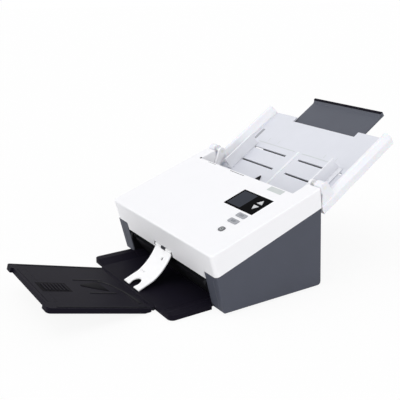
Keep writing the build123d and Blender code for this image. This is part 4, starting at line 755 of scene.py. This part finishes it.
class SCANNER_OT_rear(bpy.types.Operator):
    """Adds vents to the rear panel"""

    bl_idname = "scanner.rear"
    bl_label = "Rear details"

    def execute(self, context):
        bm = bmesh.new()
        for row in range(VENT_ROWS):
            low = VENT_LOWEST + row * VENT_PITCH
            bar(bm, REAR, VENT_X, (low, low + VENT_HEIGHT), VENT_Z, FINE_EDGE)
        new_piece("rear_vent_slots", bm, "base", "nylon")
        return {"FINISHED"}


# Each soft lamp: its name, its brightness property, where it shines from, and its spread in degrees.
SOFTBOXES = (
    ("overhead_softbox", "key_light", (0.1, -0.45, 1.0), 50.0),
    ("right_softbox", "side_light", (1.0, 0.15, 0.35), 40.0),
    ("front_softbox", "front_light", (-0.35, -1.0, 0.22), 60.0),
)
FLOOR_HALF = 12.0
# The share of the floor's own white that the camera sees, which leaves the rest to its shadows.
FLOOR_WHITE = 0.9
# The photograph's camera in the frame, in metres.
CAMERA_PLACE = (0.8839, -0.5786, 0.4677)
CAMERA_RIGHT = (0.5402, 0.8415, 0.0)
CAMERA_UP = (-0.2600, 0.1669, 0.9510)
CAMERA_BACK = (0.8003, -0.5138, 0.3090)
CAMERA_NEAREST = 0.01
SENSOR_WIDTH = 36.0


class SCANNER_OT_stage(bpy.types.Operator):
    """Makes the floor, the soft studio light and the camera at the photograph's angle"""

    bl_idname = "scanner.stage"
    bl_label = "Stage"

    def execute(self, context):
        stage = context.scene.scanner_stage
        bm = bmesh.new()
        bmesh.ops.create_grid(bm, x_segments=1, y_segments=1, size=FLOOR_HALF)
        mesh = bpy.data.meshes.new("studio_floor")
        bm.to_mesh(mesh)
        bm.free()
        floor = bpy.data.objects.new("studio_floor", mesh)
        context.scene.collection.objects.link(floor)
        material, tree, shader, place = new_material("seamless_paper_floor")
        fibre = noise(tree, place, 3.0, 3.0)
        wire(tree, shader, Base_Color=two_tones(tree, fibre.outputs["Fac"], "#F6F6F6", "#FAFAFA"))
        set_constants(shader, Roughness=0.9, Specular_IOR_Level=0.1)
        rays = add_node(tree, "ShaderNodeLightPath").outputs
        seen = larger(tree, rays["Is Camera Ray"], rays["Is Transmission Ray"])
        share = add_node(tree, "ShaderNodeMath", {0: seen, 1: FLOOR_WHITE}, operation="MULTIPLY")
        white = add_node(tree, "ShaderNodeEmission", {"Color": (1, 1, 1, 1), "Strength": 1.0})
        mix = add_node(tree, "ShaderNodeMixShader", {"Fac": share.outputs[0], 1: shader.outputs["BSDF"],
                                                     2: white.outputs["Emission"]})
        output = next(n for n in tree.nodes if n.type == "OUTPUT_MATERIAL")
        tree.links.new(mix.outputs["Shader"], output.inputs["Surface"])
        mesh.materials.append(material)

        world = bpy.data.worlds.new("studio_surround")
        context.scene.world = world
        world.use_nodes = True
        tree = world.node_tree
        tree.nodes.clear()
        rays = add_node(tree, "ShaderNodeLightPath").outputs
        seen = larger(tree, rays["Is Camera Ray"], rays["Is Glossy Ray"])
        seen = larger(tree, seen, rays["Is Transmission Ray"])
        strength = in_range(tree, seen, stage.ambient, 1.0)
        sky = add_node(tree, "ShaderNodeBackground", {"Color": (1, 1, 1, 1), "Strength": strength})
        add_node(tree, "ShaderNodeOutputWorld", {"Surface": sky.outputs["Background"]})

        for name, brightness, direction, spread in SOFTBOXES:
            lamp = bpy.data.lights.new(name, "SUN")
            lamp.energy = getattr(stage, brightness)
            lamp.angle = math.radians(spread)
            light = bpy.data.objects.new(name, lamp)
            light.rotation_mode = "QUATERNION"
            light.rotation_quaternion = Vector(direction).to_track_quat("Z", "Y")
            context.scene.collection.objects.link(light)

        lens = bpy.data.cameras.new("photograph_camera")
        lens.lens = stage.lens
        lens.sensor_width = SENSOR_WIDTH
        lens.clip_start = CAMERA_NEAREST
        camera = bpy.data.objects.new("photograph_camera", lens)
        axes = Matrix((CAMERA_RIGHT, CAMERA_UP, CAMERA_BACK)).transposed()
        camera.matrix_world = Matrix.Translation(CAMERA_PLACE) @ axes.to_4x4()
        context.scene.collection.objects.link(camera)
        context.scene.camera = camera
        context.scene.view_settings.view_transform = "Standard"
        return {"FINISHED"}


class SCANNER_PT_pieces(bpy.types.Panel):
    """Lists the colours, the sizes and the steps"""

    bl_idname = "SCANNER_PT_pieces"
    bl_label = "Document scanner"
    bl_space_type = "VIEW_3D"
    bl_region_type = "UI"
    bl_category = "Scanner"

    def draw(self, context):
        for group in (context.scene.scanner_looks, context.scene.scanner_sizes, context.scene.scanner_stage):
            box = self.layout.box()
            for name in group.bl_rna.properties.keys():
                if name not in ("rna_type", "name"):
                    box.prop(group, name)
        for operator in OPERATORS:
            self.layout.operator(operator.bl_idname)


GROUPS = (("scanner_looks", ScannerLooks), ("scanner_sizes", ScannerSizes), ("scanner_stage", ScannerStage))
OPERATORS = (
    SCANNER_OT_finishes,
    SCANNER_OT_controls,
    SCANNER_OT_cover_details,
    SCANNER_OT_input_tray,
    SCANNER_OT_output_tray,
    SCANNER_OT_rear,
    SCANNER_OT_stage,
)


def register():
    for name, group in GROUPS:
        bpy.utils.register_class(group)
        setattr(bpy.types.Scene, name, PointerProperty(type=group))
    for operator in OPERATORS:
        bpy.utils.register_class(operator)
    bpy.utils.register_class(SCANNER_PT_pieces)


def unregister():
    bpy.utils.unregister_class(SCANNER_PT_pieces)
    for operator in reversed(OPERATORS):
        bpy.utils.unregister_class(operator)
    for name, group in reversed(GROUPS):
        delattr(bpy.types.Scene, name)
        bpy.utils.unregister_class(group)


def main():
    register()
    for operator in OPERATORS:
        group, name = operator.bl_idname.split(".")
        getattr(getattr(bpy.ops, group), name)()


if __name__ == "__main__":
    main()
